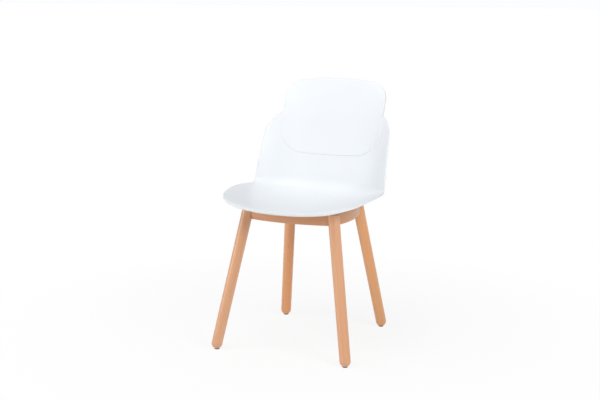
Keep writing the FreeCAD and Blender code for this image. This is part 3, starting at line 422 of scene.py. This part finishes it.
def resample(curve, measure, count):
    """The same curve at even steps of a growing measure."""
    wanted = np.linspace(0.0, measure[-1], count)
    return np.stack([np.interp(wanted, measure, values) for values in curve.T], axis=-1)


def even_run(curve, count):
    """The same curve of x and place at even lengths on the surface."""
    points = shell_point(curve[:, 0], curve[:, 1])
    return resample(curve, running_total(step_lengths(points)), count)


def row_measure(curve):
    """Length along the edge, or along the middle of the shell where that is longer."""
    edge = shell_point(curve[:, 0], curve[:, 1])
    middle = shell_point(np.zeros(len(curve)), curve[:, 1])
    return running_total(np.maximum(step_lengths(edge), step_lengths(middle)))


def patch(bottom, right, top, left):
    """Grid between four edges: both ruled surfaces added, less the one through the corners."""
    across = np.linspace(0, 1, len(bottom))[None, :, None]
    up = np.linspace(0, 1, len(right))[:, None, None]
    ruled = ((1 - up) * bottom[None] + up * top[None]
             + (1 - across) * left[:, None] + across * right[:, None])
    corners = ((1 - up) * ((1 - across) * bottom[0] + across * bottom[-1])
               + up * ((1 - across) * top[0] + across * top[-1]))
    return ruled - corners


def mirrored_patch(front, right, crown):
    """Grid over both halves, from the edges of the sitter's left half.

    The front runs from the middle outwards and the crown back to the middle."""
    bottom = np.concatenate([front[::-1][:-1] * MIRROR, front])
    top = np.concatenate([crown * MIRROR, crown[::-1][1:]])
    return patch(bottom, right, top, right * MIRROR)


def loop_of(grid):
    """The border of a grid, once round, counter-clockwise from its first corner."""
    return np.concatenate([grid[0, :-1], grid[:-1, -1], grid[-1, :0:-1], grid[:0:-1, 0]])


def loop_indices(rows, columns):
    """Vertex numbers of that border."""
    return loop_of(np.arange(rows * columns).reshape(rows, columns))


def way_inwards(x, place):
    """Direction on the surface at right angles to a closed edge, away from it."""
    points = shell_point(x, place)
    tangent = unit(np.roll(points, -1, axis=0) - np.roll(points, 1, axis=0))
    return unit(np.cross(tangent, shell_normal(x, place)))


def rim_depth(y):
    """Depth of the rim under the sitter's side: full in front, little more than the skin behind.

    Between them it falls as a smooth step, three squares less two cubes of the share."""
    share = np.clip((y - RIM_FADE_Y) / RIM_FADE_LENGTH, 0.0, 1.0)
    return RIM_DEPTH + (RIM_DEPTH_SIDE - RIM_DEPTH) * share * share * (3 - 2 * share)


def quarter(count):
    """Sines and cosines of even steps through a right angle."""
    return [(math.sin(turn), math.cos(turn)) for turn in np.linspace(0.0, math.pi / 2, count)]


def shell_border_profile(depth):
    """Section of the border as pairs of way in and depth, from the sitter's side to the underside.

    Rounded upper edge, outer face, rounded lower edge, foot of the rim, rounded inner edge and a
    fillet into the skin. Depth is an array, so each place has its own section."""
    over, under = RIM_UPPER_ROUNDING, RIM_LOWER_ROUNDING
    inner = np.minimum(RIM_INNER_ROUNDING, (depth - SKIN) / 2)
    rows = [(over - over * sine, over - over * cosine) for sine, cosine in quarter(6)]
    rows += [(under - under * cosine, depth - under + under * sine) for sine, cosine in quarter(6)]
    rows += [(RIM_WALL - inner + inner * sine, depth - inner + inner * cosine)
             for sine, cosine in quarter(4)]
    rows += [(RIM_WALL + inner - inner * cosine, SKIN + inner - inner * sine)
             for sine, cosine in quarter(4)[1:]]
    return [(np.zeros_like(depth) + way, np.zeros_like(depth) + down) for way, down in rows]


class Builder:
    """Collects points and faces of one mesh."""

    def __init__(self):
        self.points = []
        self.normals = []
        self.faces = []
        self.count = 0

    def add(self, points, faces, normals=None):
        """Adds points, and faces numbered from zero; returns the number of the first point.

        Points without normals are shaded after their faces."""
        start = self.count
        self.points.append(np.asarray(points).reshape(-1, 3))
        self.normals.append(np.zeros_like(self.points[-1]) if normals is None else normals)
        self.count += len(self.points[-1])
        self.faces.extend([[start + k for k in face] for face in faces])
        return start

    def bridge(self, first, second):
        """Quads between two closed loops of vertex numbers."""
        quads = np.stack([first, np.roll(first, -1), np.roll(second, -1), second], axis=-1)
        self.faces.extend(quads.tolist())


def offset_points(x, place, depth):
    """Points at a depth behind the sitter's side, one depth for all or one for each."""
    depth = np.broadcast_to(depth, x.shape)
    return shell_point(x, place) + shell_normal(x, place) * depth[:, None]


def add_slab(builder, grid, profile, top_depth, under_depth):
    """A closed slab: an upper grid, a border that follows a profile round it, and an under grid.

    The profile is a list of pairs of arrays, way in and depth, one value for each point of the
    edge. Its first and last pairs are where the grids end; no way in is quite zero."""
    least_side, least_row = 0.01, 1e-4
    rows, columns = grid.shape[:2]
    x, place = loop_of(grid).T
    inward = way_inwards(x, place)
    ring = loop_indices(rows, columns)
    faces = grid_faces(rows, columns)

    def add_side(way, depth, side_faces, sign):
        border = np.stack(march(x, place, inward, np.maximum(way, least_side)), axis=-1)
        side_x, side_place = shrink_grid(grid, border).reshape(-1, 2).T
        return ring + builder.add(offset_points(side_x, side_place, depth), side_faces,
                                  shell_normal(side_x, side_place) * sign)

    before = add_side(profile[0][0], top_depth, faces, -1.0)
    for way, depth in profile[1:-1]:
        row_x, row_place = march(x, place, inward, np.maximum(way, least_row), steps=4)
        row = builder.add(offset_points(row_x, row_place, depth), []) + np.arange(len(x))
        builder.bridge(before, row)
        before = row
    under = add_side(profile[-1][0], under_depth, [face[::-1] for face in faces], 1.0)
    builder.bridge(before, under)


def shrink_grid(grid, border):
    """Moves a grid's border to new places; lanes beside it follow, each less than the one before."""
    rows, columns = grid.shape[:2]
    bottom = border[:columns] - grid[0]
    right = border[columns - 1:columns + rows - 1] - grid[:, -1]
    top = border[columns + rows - 2:2 * columns + rows - 2][::-1] - grid[-1]
    left = np.concatenate([border[2 * columns + rows - 3:], border[:1]])[::-1] - grid[:, 0]
    fading_up, fading_across = fading(rows)[:, None, None], fading(columns)[None, :, None]
    fading_down, fading_back = fading_up[::-1], fading_across[:, ::-1]
    moves = (fading_up * bottom[None] + fading_down * top[None]
             + fading_across * left[:, None] + fading_back * right[:, None])
    twice = (fading_up * (fading_across * bottom[0] + fading_back * bottom[-1])
             + fading_down * (fading_across * top[0] + fading_back * top[-1]))
    return grid + moves - twice


def fading(count, lanes=7):
    """Shares that fall from one at the first lane to zero, as a square."""
    return np.maximum(0.0, 1 - np.arange(count) / lanes) ** 2


def shell_grid():
    """Grid of x and place over the whole shell: rows from side to side, from the front to the top."""
    seat, lower, upper = shell_edge()
    corner = int(np.argmin(np.abs(seat[:FRONT_POINTS, 0] - FRONT_CORNER_X)))
    sides = []
    for part in (seat[corner:], lower, upper[:TAB_SIDE_POINTS]):
        measure = row_measure(part)
        sides.append(resample(part, measure, int(round(measure[-1] / SHELL_ROW_STEP)) + 1))
    right = np.concatenate([sides[0], sides[1][1:], sides[2]])
    return mirrored_patch(even_run(seat[:corner + 1], SHELL_HALF_COLUMNS + 1), right,
                          even_run(upper[TAB_SIDE_POINTS - 1:], SHELL_HALF_COLUMNS + 1))


def panel_grid():
    """Grid of x and place over the raised head panel: its arched foot, round corners, and the tab."""
    foot = (0.0, PANEL_FOOT + PANEL_FOOT_RADIUS)
    corner_x = TAB_HALF - PANEL_CORNER_RADIUS
    drop = math.sqrt((PANEL_FOOT_RADIUS - PANEL_CORNER_RADIUS) ** 2 - corner_x ** 2)
    corner = (corner_x, foot[1] - drop)
    join = heading_of(foot, corner)
    lower = np.concatenate([arc_points(foot, PANEL_FOOT_RADIUS, -math.pi / 2, join, 60),
                            arc_points(corner, PANEL_CORNER_RADIUS, join, join / 2, 40)[1:]])
    _, upper = back_outline()
    side = np.concatenate([arc_points(corner, PANEL_CORNER_RADIUS, join / 2, 0.0, 40),
                           [[TAB_HALF, NOTCH]], upper[:TAB_SIDE_POINTS]])
    crown = upper[TAB_SIDE_POINTS - 1:]
    return mirrored_patch(even_run(on_back(lower), PANEL_HALF_COLUMNS + 1),
                          even_run(on_back(side), PANEL_ROWS),
                          even_run(on_back(crown), PANEL_HALF_COLUMNS + 1))


def add_boss(builder, x, y):
    """A boss with its insert's hole: a profile of radius and height turned about the screw's axis."""
    turns = np.linspace(0, 2 * math.pi, BOSS_SIDES, endpoint=False)
    top = float(seat_height(np.array(x), np.array(y))) - SKIN / 2
    roof = BOSS_FACE + INSERT_LENGTH
    pole = 0.01
    profile = [(pole, top), (BOSS_RADIUS, top), (BOSS_RADIUS, BOSS_FACE + BOSS_CHAMFER),
               (BOSS_RADIUS - BOSS_CHAMFER, BOSS_FACE), (INSERT_RADIUS, BOSS_FACE),
               (INSERT_RADIUS, roof), (pole, roof)]
    rings = [np.stack([x + r * np.cos(turns), y + r * np.sin(turns), np.full_like(turns, z)], axis=-1)
             for r, z in profile]
    builder.add(np.concatenate(rings), tube_faces(len(rings), BOSS_SIDES))
    for turn in (math.pi / 4, 3 * math.pi / 4):
        add_rib(builder, x, y, turn)


def add_rib(builder, x, y, turn):
    """A thin upright plate through the boss's axis, whose top follows the skin."""
    reach = np.linspace(-RIB_REACH, RIB_REACH, RIB_STATIONS)
    along = np.array([math.cos(turn), math.sin(turn)])
    aside = np.array([-along[1], along[0]]) * RIB_THICKNESS / 2
    rings = []
    for side, high in ((-1, False), (1, False), (1, True), (-1, True)):
        plan = np.array([x, y]) + reach[:, None] * along + side * aside
        tops = seat_height(plan[:, 0], plan[:, 1]) - SKIN / 2
        heights = tops if high else np.full(len(reach), BOSS_FACE + RIB_LIFT)
        rings.append(np.concatenate([plan, heights[:, None]], axis=1))
    builder.add(np.stack(rings, axis=1), tube_faces(len(reach), 4))


def make_shell():
    """The moulding: skin with its border, raised head panel, and bosses with ribs under the seat.

    The panel is a slab of its own whose under side lies in the middle of the skin."""
    builder = Builder()
    grid = shell_grid()
    edge = loop_of(grid)
    depth = rim_depth(shell_point(edge[:, 0], edge[:, 1])[:, 1])
    add_slab(builder, grid, shell_border_profile(depth), 0.0, SKIN)
    panel = panel_grid()
    count = len(loop_of(panel))
    lip = [(LIP_ROUNDING - LIP_ROUNDING * sine + LIP_INSET,
            -PANEL_RELIEF + LIP_ROUNDING - LIP_ROUNDING * cosine) for sine, cosine in quarter(5)]
    inside = SKIN / 2
    lip += [(LIP_INSET, inside - 0.2), (0.6, inside)]
    profile = [(np.full(count, way), np.full(count, down)) for way, down in lip]
    add_slab(builder, panel, profile, -PANEL_RELIEF, inside)
    for x, y in BOSSES:
        add_boss(builder, x, y)
        add_boss(builder, -x, y)
    piece = add_piece("moulded_shell", np.concatenate(builder.points), builder.faces)
    face_outwards(piece)
    piece.data.normals_split_custom_set_from_vertices(np.concatenate(builder.normals).tolist())
    return piece


# Legs and rails

def leg_axis(name):
    """Foot and head of a leg's axis; the name says its end and its side."""
    end, side = name.split("_")[:2]
    foot, head = LEGS[end]
    sign = 1.0 if side == "left" else -1.0
    return np.array([sign * foot[0], foot[1], 0.0]), np.array([sign * head[0], head[1], FRAME_TOP])


def make_leg(name):
    """A turned leg: a level cut for the glide, a ball-shaped foot, and a cone cut level on top.

    On the ball, a point turns from the cut's circle to the equator; on the cone, its radius is
    linear along the axis, from the equator up to where each line meets the level of the top.
    Both flat ends run in to a small share of their circle, the pole, and one face closes each."""
    foot, head = leg_axis(name)
    axis = unit(head - foot)
    e1 = unit(np.cross(axis, [0.0, 1.0, 0.0]))
    e2 = np.cross(axis, e1)
    turns = np.linspace(0, 2 * math.pi, LEG_SIDES, endpoint=False)
    out = np.cos(turns)[:, None] * e1 + np.sin(turns)[:, None] * e2
    dome = GLIDE_HEIGHT + math.sqrt(LEG_FOOT_RADIUS ** 2 - GLIDE_RADIUS ** 2)
    centre = foot + (head - foot) * dome / FRAME_TOP
    drop = np.array([0.0, 0.0, centre[2] - GLIDE_HEIGHT])
    level = unit(out * np.array([1.0, 1.0, 0.0])) * GLIDE_RADIUS
    start = unit(level - drop)
    swing = np.arccos(np.clip((start * out).sum(-1), -1, 1))[:, None]
    foot_pole, head_pole = 0.05, 0.02
    rings = [centre - drop + level * foot_pole]
    for share in np.linspace(0, 1, LEG_DOME_RINGS):
        way = (np.sin((1 - share) * swing) * start + np.sin(share * swing) * out) / np.sin(swing)
        rings.append(centre + way * LEG_FOOT_RADIUS)
    total = np.linalg.norm(head - foot)
    cone_length = total + LEG_HEAD_RADIUS - total * dome / FRAME_TOP
    growth = (LEG_HEAD_RADIUS - LEG_FOOT_RADIUS) / cone_length
    lift = out[:, 2]
    top = (FRAME_TOP - centre[2] - LEG_FOOT_RADIUS * lift) / (axis[2] + growth * lift)
    steps = [(k / LEG_CONE_RINGS, 0.0) for k in range(1, LEG_CONE_RINGS)]
    for share, chamfer in steps + [(0.9985, 0.0), (1.0, LEG_TOP_CHAMFER)]:
        reach = top * share
        radius = LEG_FOOT_RADIUS + growth * reach - chamfer
        rings.append(centre + axis * reach[:, None] + out * radius[:, None])
    rings[-1][:, 2] = FRAME_TOP
    rings.append(head + (rings[-1] - head) * head_pole)
    points = np.concatenate(rings)
    piece = add_piece(name + "_turned", points, tube_faces(len(rings), LEG_SIDES))
    local = points - foot
    store_grain(piece, np.stack([local @ e1, local @ e2, local @ axis], axis=-1) + GRAIN_SHIFTS[name])
    face_outwards(piece)
    return piece


def rail_ends(name):
    """Corners of the ring's middle line at both ends of a rail."""
    share = (FRAME_TOP - RAIL_HEIGHT / 2) / FRAME_TOP
    corners = {}
    for end, fore in (("front", -1), ("rear", 1)):
        foot, head = LEGS[end]
        x = foot[0] + (head[0] - foot[0]) * share - RAIL_SETBACK
        y = foot[1] + (head[1] - foot[1]) * share - fore * RAIL_SETBACK
        corners[end] = np.array([x, y])
    front, rear = corners["front"], corners["rear"]
    return {"front_rail": (front * MIRROR, front), "left_rail": (front, rear),
            "rear_rail": (rear, rear * MIRROR), "right_rail": (rear * MIRROR, front * MIRROR)}[name]


def rounded_section():
    """Section of a rail, counter-clockwise: a rectangle with rounded edges, as (outwards, up)."""
    r = RAIL_ROUNDING
    half, high = RAIL_THICKNESS / 2 - r, RAIL_HEIGHT - r
    points = []
    for x, z, first in ((half, r, -90), (half, high, 0), (-half, high, 90), (-half, r, 180)):
        for step in range(6):
            turn = math.radians(first + 18 * step)
            points.append((x + r * math.cos(turn), z + r * math.sin(turn)))
    return np.array(points)


def make_rail(name):
    """A bowed rail: the rounded section carried along an arc between two corners."""
    start, end = rail_ends(name)
    bow = BOWS[name]
    chord = end - start
    half = np.hypot(*chord) / 2
    outward = np.array([chord[1], -chord[0]]) / (2 * half)
    radius = (half ** 2 + bow ** 2) / (2 * bow)
    centre = (start + end) / 2 - outward * (radius - bow)
    middle = math.atan2(outward[1], outward[0])
    swing = math.asin(half / radius) - (LEG_HEAD_RADIUS - RAIL_IN_LEG) / radius
    turns = np.linspace(middle - swing, middle + swing, RAIL_STEPS)
    across, up = rounded_section().T
    x = centre[0] + np.cos(turns)[:, None] * (radius + across)
    y = centre[1] + np.sin(turns)[:, None] * (radius + across)
    across, up = np.broadcast_to(across, x.shape), np.broadcast_to(up, x.shape)
    points = np.stack([x, y, FRAME_TOP - RAIL_HEIGHT + up], axis=-1)
    piece = add_piece(name + "_bent", points.reshape(-1, 3), tube_faces(*x.shape))
    along = np.broadcast_to((turns - middle)[:, None] * radius, x.shape)
    store_grain(piece, np.stack([across, up, along], axis=-1).reshape(-1, 3) + GRAIN_SHIFTS[name])
    face_outwards(piece)
    return piece


# Finishes: noise scales are per metre, and bumps are in metres

class Wire:
    """An output socket that can stand in sums, as in 1 - mask * 0.4."""

    def __init__(self, finish, socket):
        self.finish = finish
        self.socket = socket

    def math(self, operation, other=0.0, swapped=False):
        """The result of a maths node on this value and another, as a new wire."""
        values = (other, self) if swapped else (self, other)
        return self.finish.node("ShaderNodeMath", {"operation": operation}, dict(enumerate(values)))

    def __add__(self, other):
        return self.math("ADD", other)

    def __sub__(self, other):
        return self.math("SUBTRACT", other)

    def __rsub__(self, other):
        return self.math("SUBTRACT", other, swapped=True)

    def __mul__(self, other):
        return self.math("MULTIPLY", other)

    def __truediv__(self, other):
        return self.math("DIVIDE", other)

    __radd__ = __add__
    __rmul__ = __mul__


class Finish:
    """A material. Any node comes from node(): first its settings, then its sockets."""

    def __init__(self, name):
        self.material = bpy.data.materials.new(name)
        self.material.use_nodes = True
        self.tree = self.material.node_tree
        self.tree.nodes.clear()

    def node(self, kind, settings=None, sockets=None, out=0):
        item = self.tree.nodes.new(kind)
        for key, value in (settings or {}).items():
            if key == "stops":
                self.set_stops(item.color_ramp, value)
            else:
                setattr(item, key, value)
        for key, value in (sockets or {}).items():
            if isinstance(value, Wire):
                self.tree.links.new(value.socket, item.inputs[key])
            else:
                item.inputs[key].default_value = value
        return Wire(self, item.outputs[out])

    @staticmethod
    def set_stops(ramp, stops):
        while len(ramp.elements) < len(stops):
            ramp.elements.new(0.5)
        for element, (position, level) in zip(ramp.elements, stops):
            element.position = position
            element.color = (level, level, level, 1.0)

    def mix(self, share, first, second):
        """Colour between two colours."""
        sockets = {0: share, 6: first, 7: second}
        return self.node("ShaderNodeMix", {"data_type": "RGBA"}, sockets, out=2)

    def noise(self, vector, scale, detail=2.0, roughness=0.5):
        return self.node("ShaderNodeTexNoise", {}, {"Vector": vector, "Scale": scale,
                                                    "Detail": detail, "Roughness": roughness})

    def ramp(self, value, *stops):
        return self.node("ShaderNodeValToRGB", {"stops": stops}, {0: value})

    def stretched(self, vector, scales):
        return self.node("ShaderNodeVectorMath", {"operation": "MULTIPLY"}, {0: vector, 1: scales})

    def light_path(self, ray):
        return self.node("ShaderNodeLightPath", {}, {}, out=ray)

    def object_place(self):
        """Where a point lies on its object, in metres."""
        return self.node("ShaderNodeTexCoord", {}, {}, out="Object")

    def bump(self, height, distance, strength=1.0):
        return self.node("ShaderNodeBump", {}, {"Height": height, "Distance": distance,
                                                "Strength": strength})

    def surface(self, **sockets):
        """Ends the material in a principled surface; underscores in the names stand for spaces."""
        named = {key.replace("_", " "): value for key, value in sockets.items()}
        shader = self.node("ShaderNodeBsdfPrincipled", {}, named)
        self.node_output(shader)
        return self.material

    def node_output(self, shader):
        output = self.tree.nodes.new("ShaderNodeOutputMaterial")
        self.tree.links.new(shader.socket, output.inputs["Surface"])


def from_screen(red, green, blue):
    """A colour written as on a screen, 0 to 255, as linear values."""
    values = []
    for level in (red, green, blue):
        share = level / 255
        values.append(share / 12.92 if share <= 0.04045 else ((share + 0.055) / 1.055) ** 2.4)
    return tuple(values) + (1.0,)


def moulded_plastic():
    """Cool white satin plastic: cloudy tint and gloss, and the fine grain of the mould."""
    finish = Finish("moulded_plastic")
    place = finish.object_place()
    cloud = finish.noise(place, 9.0, 3.0)
    fine = finish.noise(place, 2600.0, 1.0)
    wave = finish.noise(place, 34.0, 1.0)
    colour = finish.mix(cloud, from_screen(238, 242, 245), from_screen(242, 245, 248))
    return finish.surface(
        Base_Color=colour,
        Roughness=0.34 + cloud * 0.05 + fine * 0.05,
        Specular_IOR_Level=0.45,
        Normal=finish.bump(fine * 0.00003 + wave * 0.00008, 1.0, 0.5))


def grain_colour(finish, plank, light, dark, fleck_colour):
    """Wood from layers of stretched noise: slow drift, rings, fibres, and short dark flecks.

    Returns the colour, and the flecks, fibres and rings for gloss and bump."""
    drift = finish.noise(finish.stretched(plank, (14.0, 14.0, 1.1)), 1.0, 2.0)
    rings = finish.noise(finish.stretched(plank, (260.0, 120.0, 2.4)), 1.0, 2.0, 0.6)
    fibres = finish.noise(finish.stretched(plank, (1500.0, 1500.0, 28.0)), 1.0, 2.0, 0.6)
    specks = finish.noise(finish.stretched(plank, (1900.0, 1900.0, 330.0)), 1.0, 1.0)
    fleck = finish.ramp(specks, (0.60, 0.0), (0.70, 1.0))
    tone = drift * 0.55 + rings * 0.75 + fibres * 0.35 - 0.33
    shade = finish.ramp(tone, (0.25, 0.0), (0.80, 1.0))
    wood = finish.mix(shade, dark, light)
    return finish.mix(fleck * 0.35, wood, fleck_colour), fleck, fibres, rings


def lacquered_beech(name, light, dark):
    """Beech under a thin satin lacquer; the grain follows each turned or bent piece."""
    finish = Finish(name)
    plank = finish.node("ShaderNodeAttribute", {"attribute_name": "grain"}, {}, out="Vector")
    colour, fleck, fibres, rings = grain_colour(finish, plank, light, dark, from_screen(186, 120, 76))
    return finish.surface(
        Base_Color=colour,
        Roughness=0.34 + fibres * 0.10 + fleck * 0.08,
        Specular_IOR_Level=0.5,
        Coat_Weight=0.25,
        Coat_Roughness=0.22,
        Normal=finish.bump(fibres * 0.00003 - fleck * 0.00004 + rings * 0.00002, 1.0, 0.6))


def plain_beech(name, turn, light, dark):
    """Unlacquered beech of the hidden pieces, with the grain at an angle in plan."""
    finish = Finish(name)
    place = finish.node("ShaderNodeMapping", {}, {"Vector": finish.object_place(), "Rotation": turn})
    colour, fleck, fibres, _ = grain_colour(finish, place, light, dark, from_screen(150, 104, 70))
    return finish.surface(
        Base_Color=colour,
        Roughness=0.62 + fibres * 0.15,
        Normal=finish.bump(fibres * 0.00005 - fleck * 0.00003, 1.0, 0.7))


def dark_nylon():
    """Dark grey nylon of the glides, scuffed underneath."""
    finish = Finish("dark_nylon")
    place = finish.object_place()
    scuff = finish.noise(finish.stretched(place, (900.0, 300.0, 300.0)), 1.0, 3.0)
    colour = finish.mix(scuff, from_screen(52, 50, 50), from_screen(78, 75, 74))
    return finish.surface(Base_Color=colour, Roughness=0.42 + scuff * 0.2,
                          Normal=finish.bump(scuff * 0.00004, 1.0, 0.5))


def plated_steel(name, tint):
    """Zinc-plated steel: fine turning marks and cloudy gloss."""
    finish = Finish(name)
    place = finish.object_place()
    marks = finish.noise(finish.stretched(place, (300.0, 300.0, 3000.0)), 1.0, 2.0)
    cloud = finish.noise(place, 400.0, 2.0)
    colour = finish.mix(cloud, tint, from_screen(205, 206, 204))
    return finish.surface(Base_Color=colour, Metallic=1.0, Roughness=0.24 + marks * 0.2 + cloud * 0.1,
                          Normal=finish.bump(marks * 0.00002, 1.0, 0.5))


def turned_brass():
    """Brass of the inserts, with turning marks."""
    finish = Finish("turned_brass")
    place = finish.object_place()
    marks = finish.noise(finish.stretched(place, (300.0, 300.0, 4000.0)), 1.0, 2.0)
    colour = finish.mix(marks, from_screen(196, 160, 92), from_screen(222, 190, 120))
    return finish.surface(Base_Color=colour, Metallic=1.0, Roughness=0.26 + marks * 0.2,
                          Normal=finish.bump(marks * 0.00002, 1.0, 0.5))


def soft_rubber():
    """Black rubber of the spacer rings, dusty and matt."""
    finish = Finish("soft_rubber")
    dust = finish.noise(finish.object_place(), 700.0, 3.0)
    colour = finish.mix(dust, from_screen(30, 30, 31), from_screen(52, 51, 50))
    return finish.surface(Base_Color=colour, Roughness=0.7 + dust * 0.2,
                          Normal=finish.bump(dust * 0.00005, 1.0, 0.6))


# The chair

def dress(piece, material):
    """Gives a new piece its only material."""
    piece.data.materials.append(material)


def dress_node(name, material):
    """Gives a CAD node that stays a better material."""
    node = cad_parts[name]
    if not node.material_slots:
        node.data.materials.append(material)
    for slot in node.material_slots:
        slot.material = material


shell = make_shell()
dress(shell, moulded_plastic())
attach(shell, "root")
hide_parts("seat_shell")

# Light and dark tone of each leg, as on a screen
LEG_TONES = {
    "front_left_leg": ((240, 186, 146), (224, 162, 118)),
    "front_right_leg": ((236, 186, 148), (220, 162, 120)),
    "rear_left_leg": ((244, 186, 138), (230, 162, 104)),
    "rear_right_leg": ((246, 184, 134), (232, 158, 100)),
}
for leg_name, (leg_light, leg_dark) in LEG_TONES.items():
    leg = make_leg(leg_name)
    leg_beech = lacquered_beech(leg_name + "_beech", from_screen(*leg_light), from_screen(*leg_dark))
    dress(leg, leg_beech)
    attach(leg, "root")
    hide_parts(leg_name)
# The rails' beech tones are darker and more orange than the legs': painted shade from the shell above
# them.
rail_beech_painted_shade = lacquered_beech("rail_beech_painted_shade", from_screen(222, 166, 124), from_screen(204, 140, 96))
for rail_name in BOWS:
    rail = make_rail(rail_name)
    dress(rail, rail_beech_painted_shade)
    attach(rail, "root")
    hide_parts(rail_name)

block_light, block_dark = from_screen(214, 172, 134), from_screen(190, 142, 102)
block_angles = {"front_left": 45, "front_right": -45, "rear_left": -45, "rear_right": 45}
nylon = dark_nylon()
for corner_name, block_angle in block_angles.items():
    block_turn = (math.radians(90), 0.0, math.radians(block_angle))
    dress_node(corner_name + "_corner_block",
               plain_beech(corner_name + "_block_beech", block_turn, block_light, block_dark))
    dress_node(corner_name + "_glide", nylon)
dress_node("rail_dowels", plain_beech("dowel_beech", (0.0, 0.0, 0.0), block_light, block_dark))
dress_node("corner_block_screws", plated_steel("screw_plating", from_screen(178, 180, 178)))
dress_node("shell_bolts", plated_steel("bolt_plating", from_screen(170, 172, 172)))
dress_node("shell_bolt_washers", plated_steel("washer_plating", from_screen(184, 186, 185)))
dress_node("shell_spacers", soft_rubber())
dress_node("threaded_inserts", turned_brass())


# The studio

LAMP_TARGET = (0.0, 0.0, 0.45)


def make_floor():
    """A pale floor that the camera and reflections see as white, but for the shadow near the chair.

    The share of plain white grows with the distance from the chair's middle, from 0.3 m to 1.2 m."""
    size = 40.0
    mesh = bpy.data.meshes.new("floor")
    mesh.from_pydata([(-size, -size, 0.0), (size, -size, 0.0), (size, size, 0.0), (-size, size, 0.0)],
                     [], [(0, 1, 2, 3)])
    floor = bpy.data.objects.new("floor", mesh)
    bpy.context.scene.collection.objects.link(floor)
    finish = Finish("pale_floor")
    place = finish.object_place()
    away = finish.node("ShaderNodeVectorMath", {"operation": "LENGTH"}, {0: place}, out="Value")
    far = finish.ramp(away / 2.0, (0.15, 0.0), (0.6, 1.0))
    rays = [finish.light_path("Is %s Ray" % kind) for kind in ("Camera", "Glossy", "Transmission")]
    direct = (rays[0] + rays[1] + rays[2]).math("MINIMUM", 1.0)
    white = finish.node("ShaderNodeEmission", {}, {"Color": (1.0, 1.0, 1.0, 1.0), "Strength": 1.0})
    tint = finish.mix(finish.noise(place, 3.0), from_screen(248, 248, 248),
                      from_screen(250, 250, 250))
    matt = finish.node("ShaderNodeBsdfDiffuse", {}, {"Color": tint})
    least_white = 0.86
    share = direct * (least_white + far * (1 - least_white))
    finish.node_output(finish.node("ShaderNodeMixShader", {}, {0: share, 1: matt, 2: white}))
    mesh.materials.append(finish.material)


def make_world(level):
    """Grey light of one level all round; only the camera sees white, also through clear pieces."""
    world = bpy.data.worlds.new("studio")
    bpy.context.scene.world = world
    world.use_nodes = True
    tree = world.node_tree
    tree.nodes.clear()
    path = tree.nodes.new("ShaderNodeLightPath")
    seen = tree.nodes.new("ShaderNodeMath")
    seen.operation = "MAXIMUM"
    tree.links.new(path.outputs["Is Camera Ray"], seen.inputs[0])
    tree.links.new(path.outputs["Is Transmission Ray"], seen.inputs[1])
    strength = tree.nodes.new("ShaderNodeMapRange")
    strength.inputs["To Min"].default_value = level
    strength.inputs["To Max"].default_value = 1.0
    tree.links.new(seen.outputs[0], strength.inputs["Value"])
    light = tree.nodes.new("ShaderNodeBackground")
    light.inputs["Color"].default_value = (0.97, 0.985, 1.0, 1.0)
    tree.links.new(strength.outputs[0], light.inputs["Strength"])
    output = tree.nodes.new("ShaderNodeOutputWorld")
    tree.links.new(light.outputs[0], output.inputs["Surface"])


def make_lamp(name, place, width, height, power):
    """A soft box of a power in watts that faces the seat."""
    data = bpy.data.lights.new(name, "AREA")
    data.shape = "RECTANGLE"
    data.size = width
    data.size_y = height
    data.energy = power
    lamp = bpy.data.objects.new(name, data)
    lamp.location = place
    way = np.subtract(LAMP_TARGET, place)
    across = math.hypot(way[0], way[1])
    heading = math.atan2(way[1], way[0])
    lamp.rotation_euler = (math.atan2(across, -way[2]), 0.0, heading - math.pi / 2)
    bpy.context.scene.collection.objects.link(lamp)


def make_camera():
    """The photograph's view: angles in degrees, the lens in millimetres."""
    azimuth, elevation = 23.787, 10.956
    data = bpy.data.cameras.new("camera")
    data.lens = 68.91
    data.sensor_width = 36.0
    data.clip_end = 200.0
    camera = bpy.data.objects.new("camera", data)
    camera.location = (1.4014, -3.2538, 1.1328)
    camera.rotation_euler = (math.radians(90 - elevation), 0.0, math.radians(azimuth))
    bpy.context.scene.collection.objects.link(camera)
    bpy.context.scene.camera = camera


make_floor()
make_world(0.305)
make_lamp("key_box", (2.8, -1.4, 2.3), 1.6, 1.6, 56.0)
make_lamp("side_box", (-1.8, -1.3, 0.7), 0.7, 1.0, 13.0)
make_lamp("top_box", (-0.5, -1.1, 3.1), 1.8, 1.8, 32.5)
make_camera()
bpy.context.scene.view_settings.view_transform = "Standard"
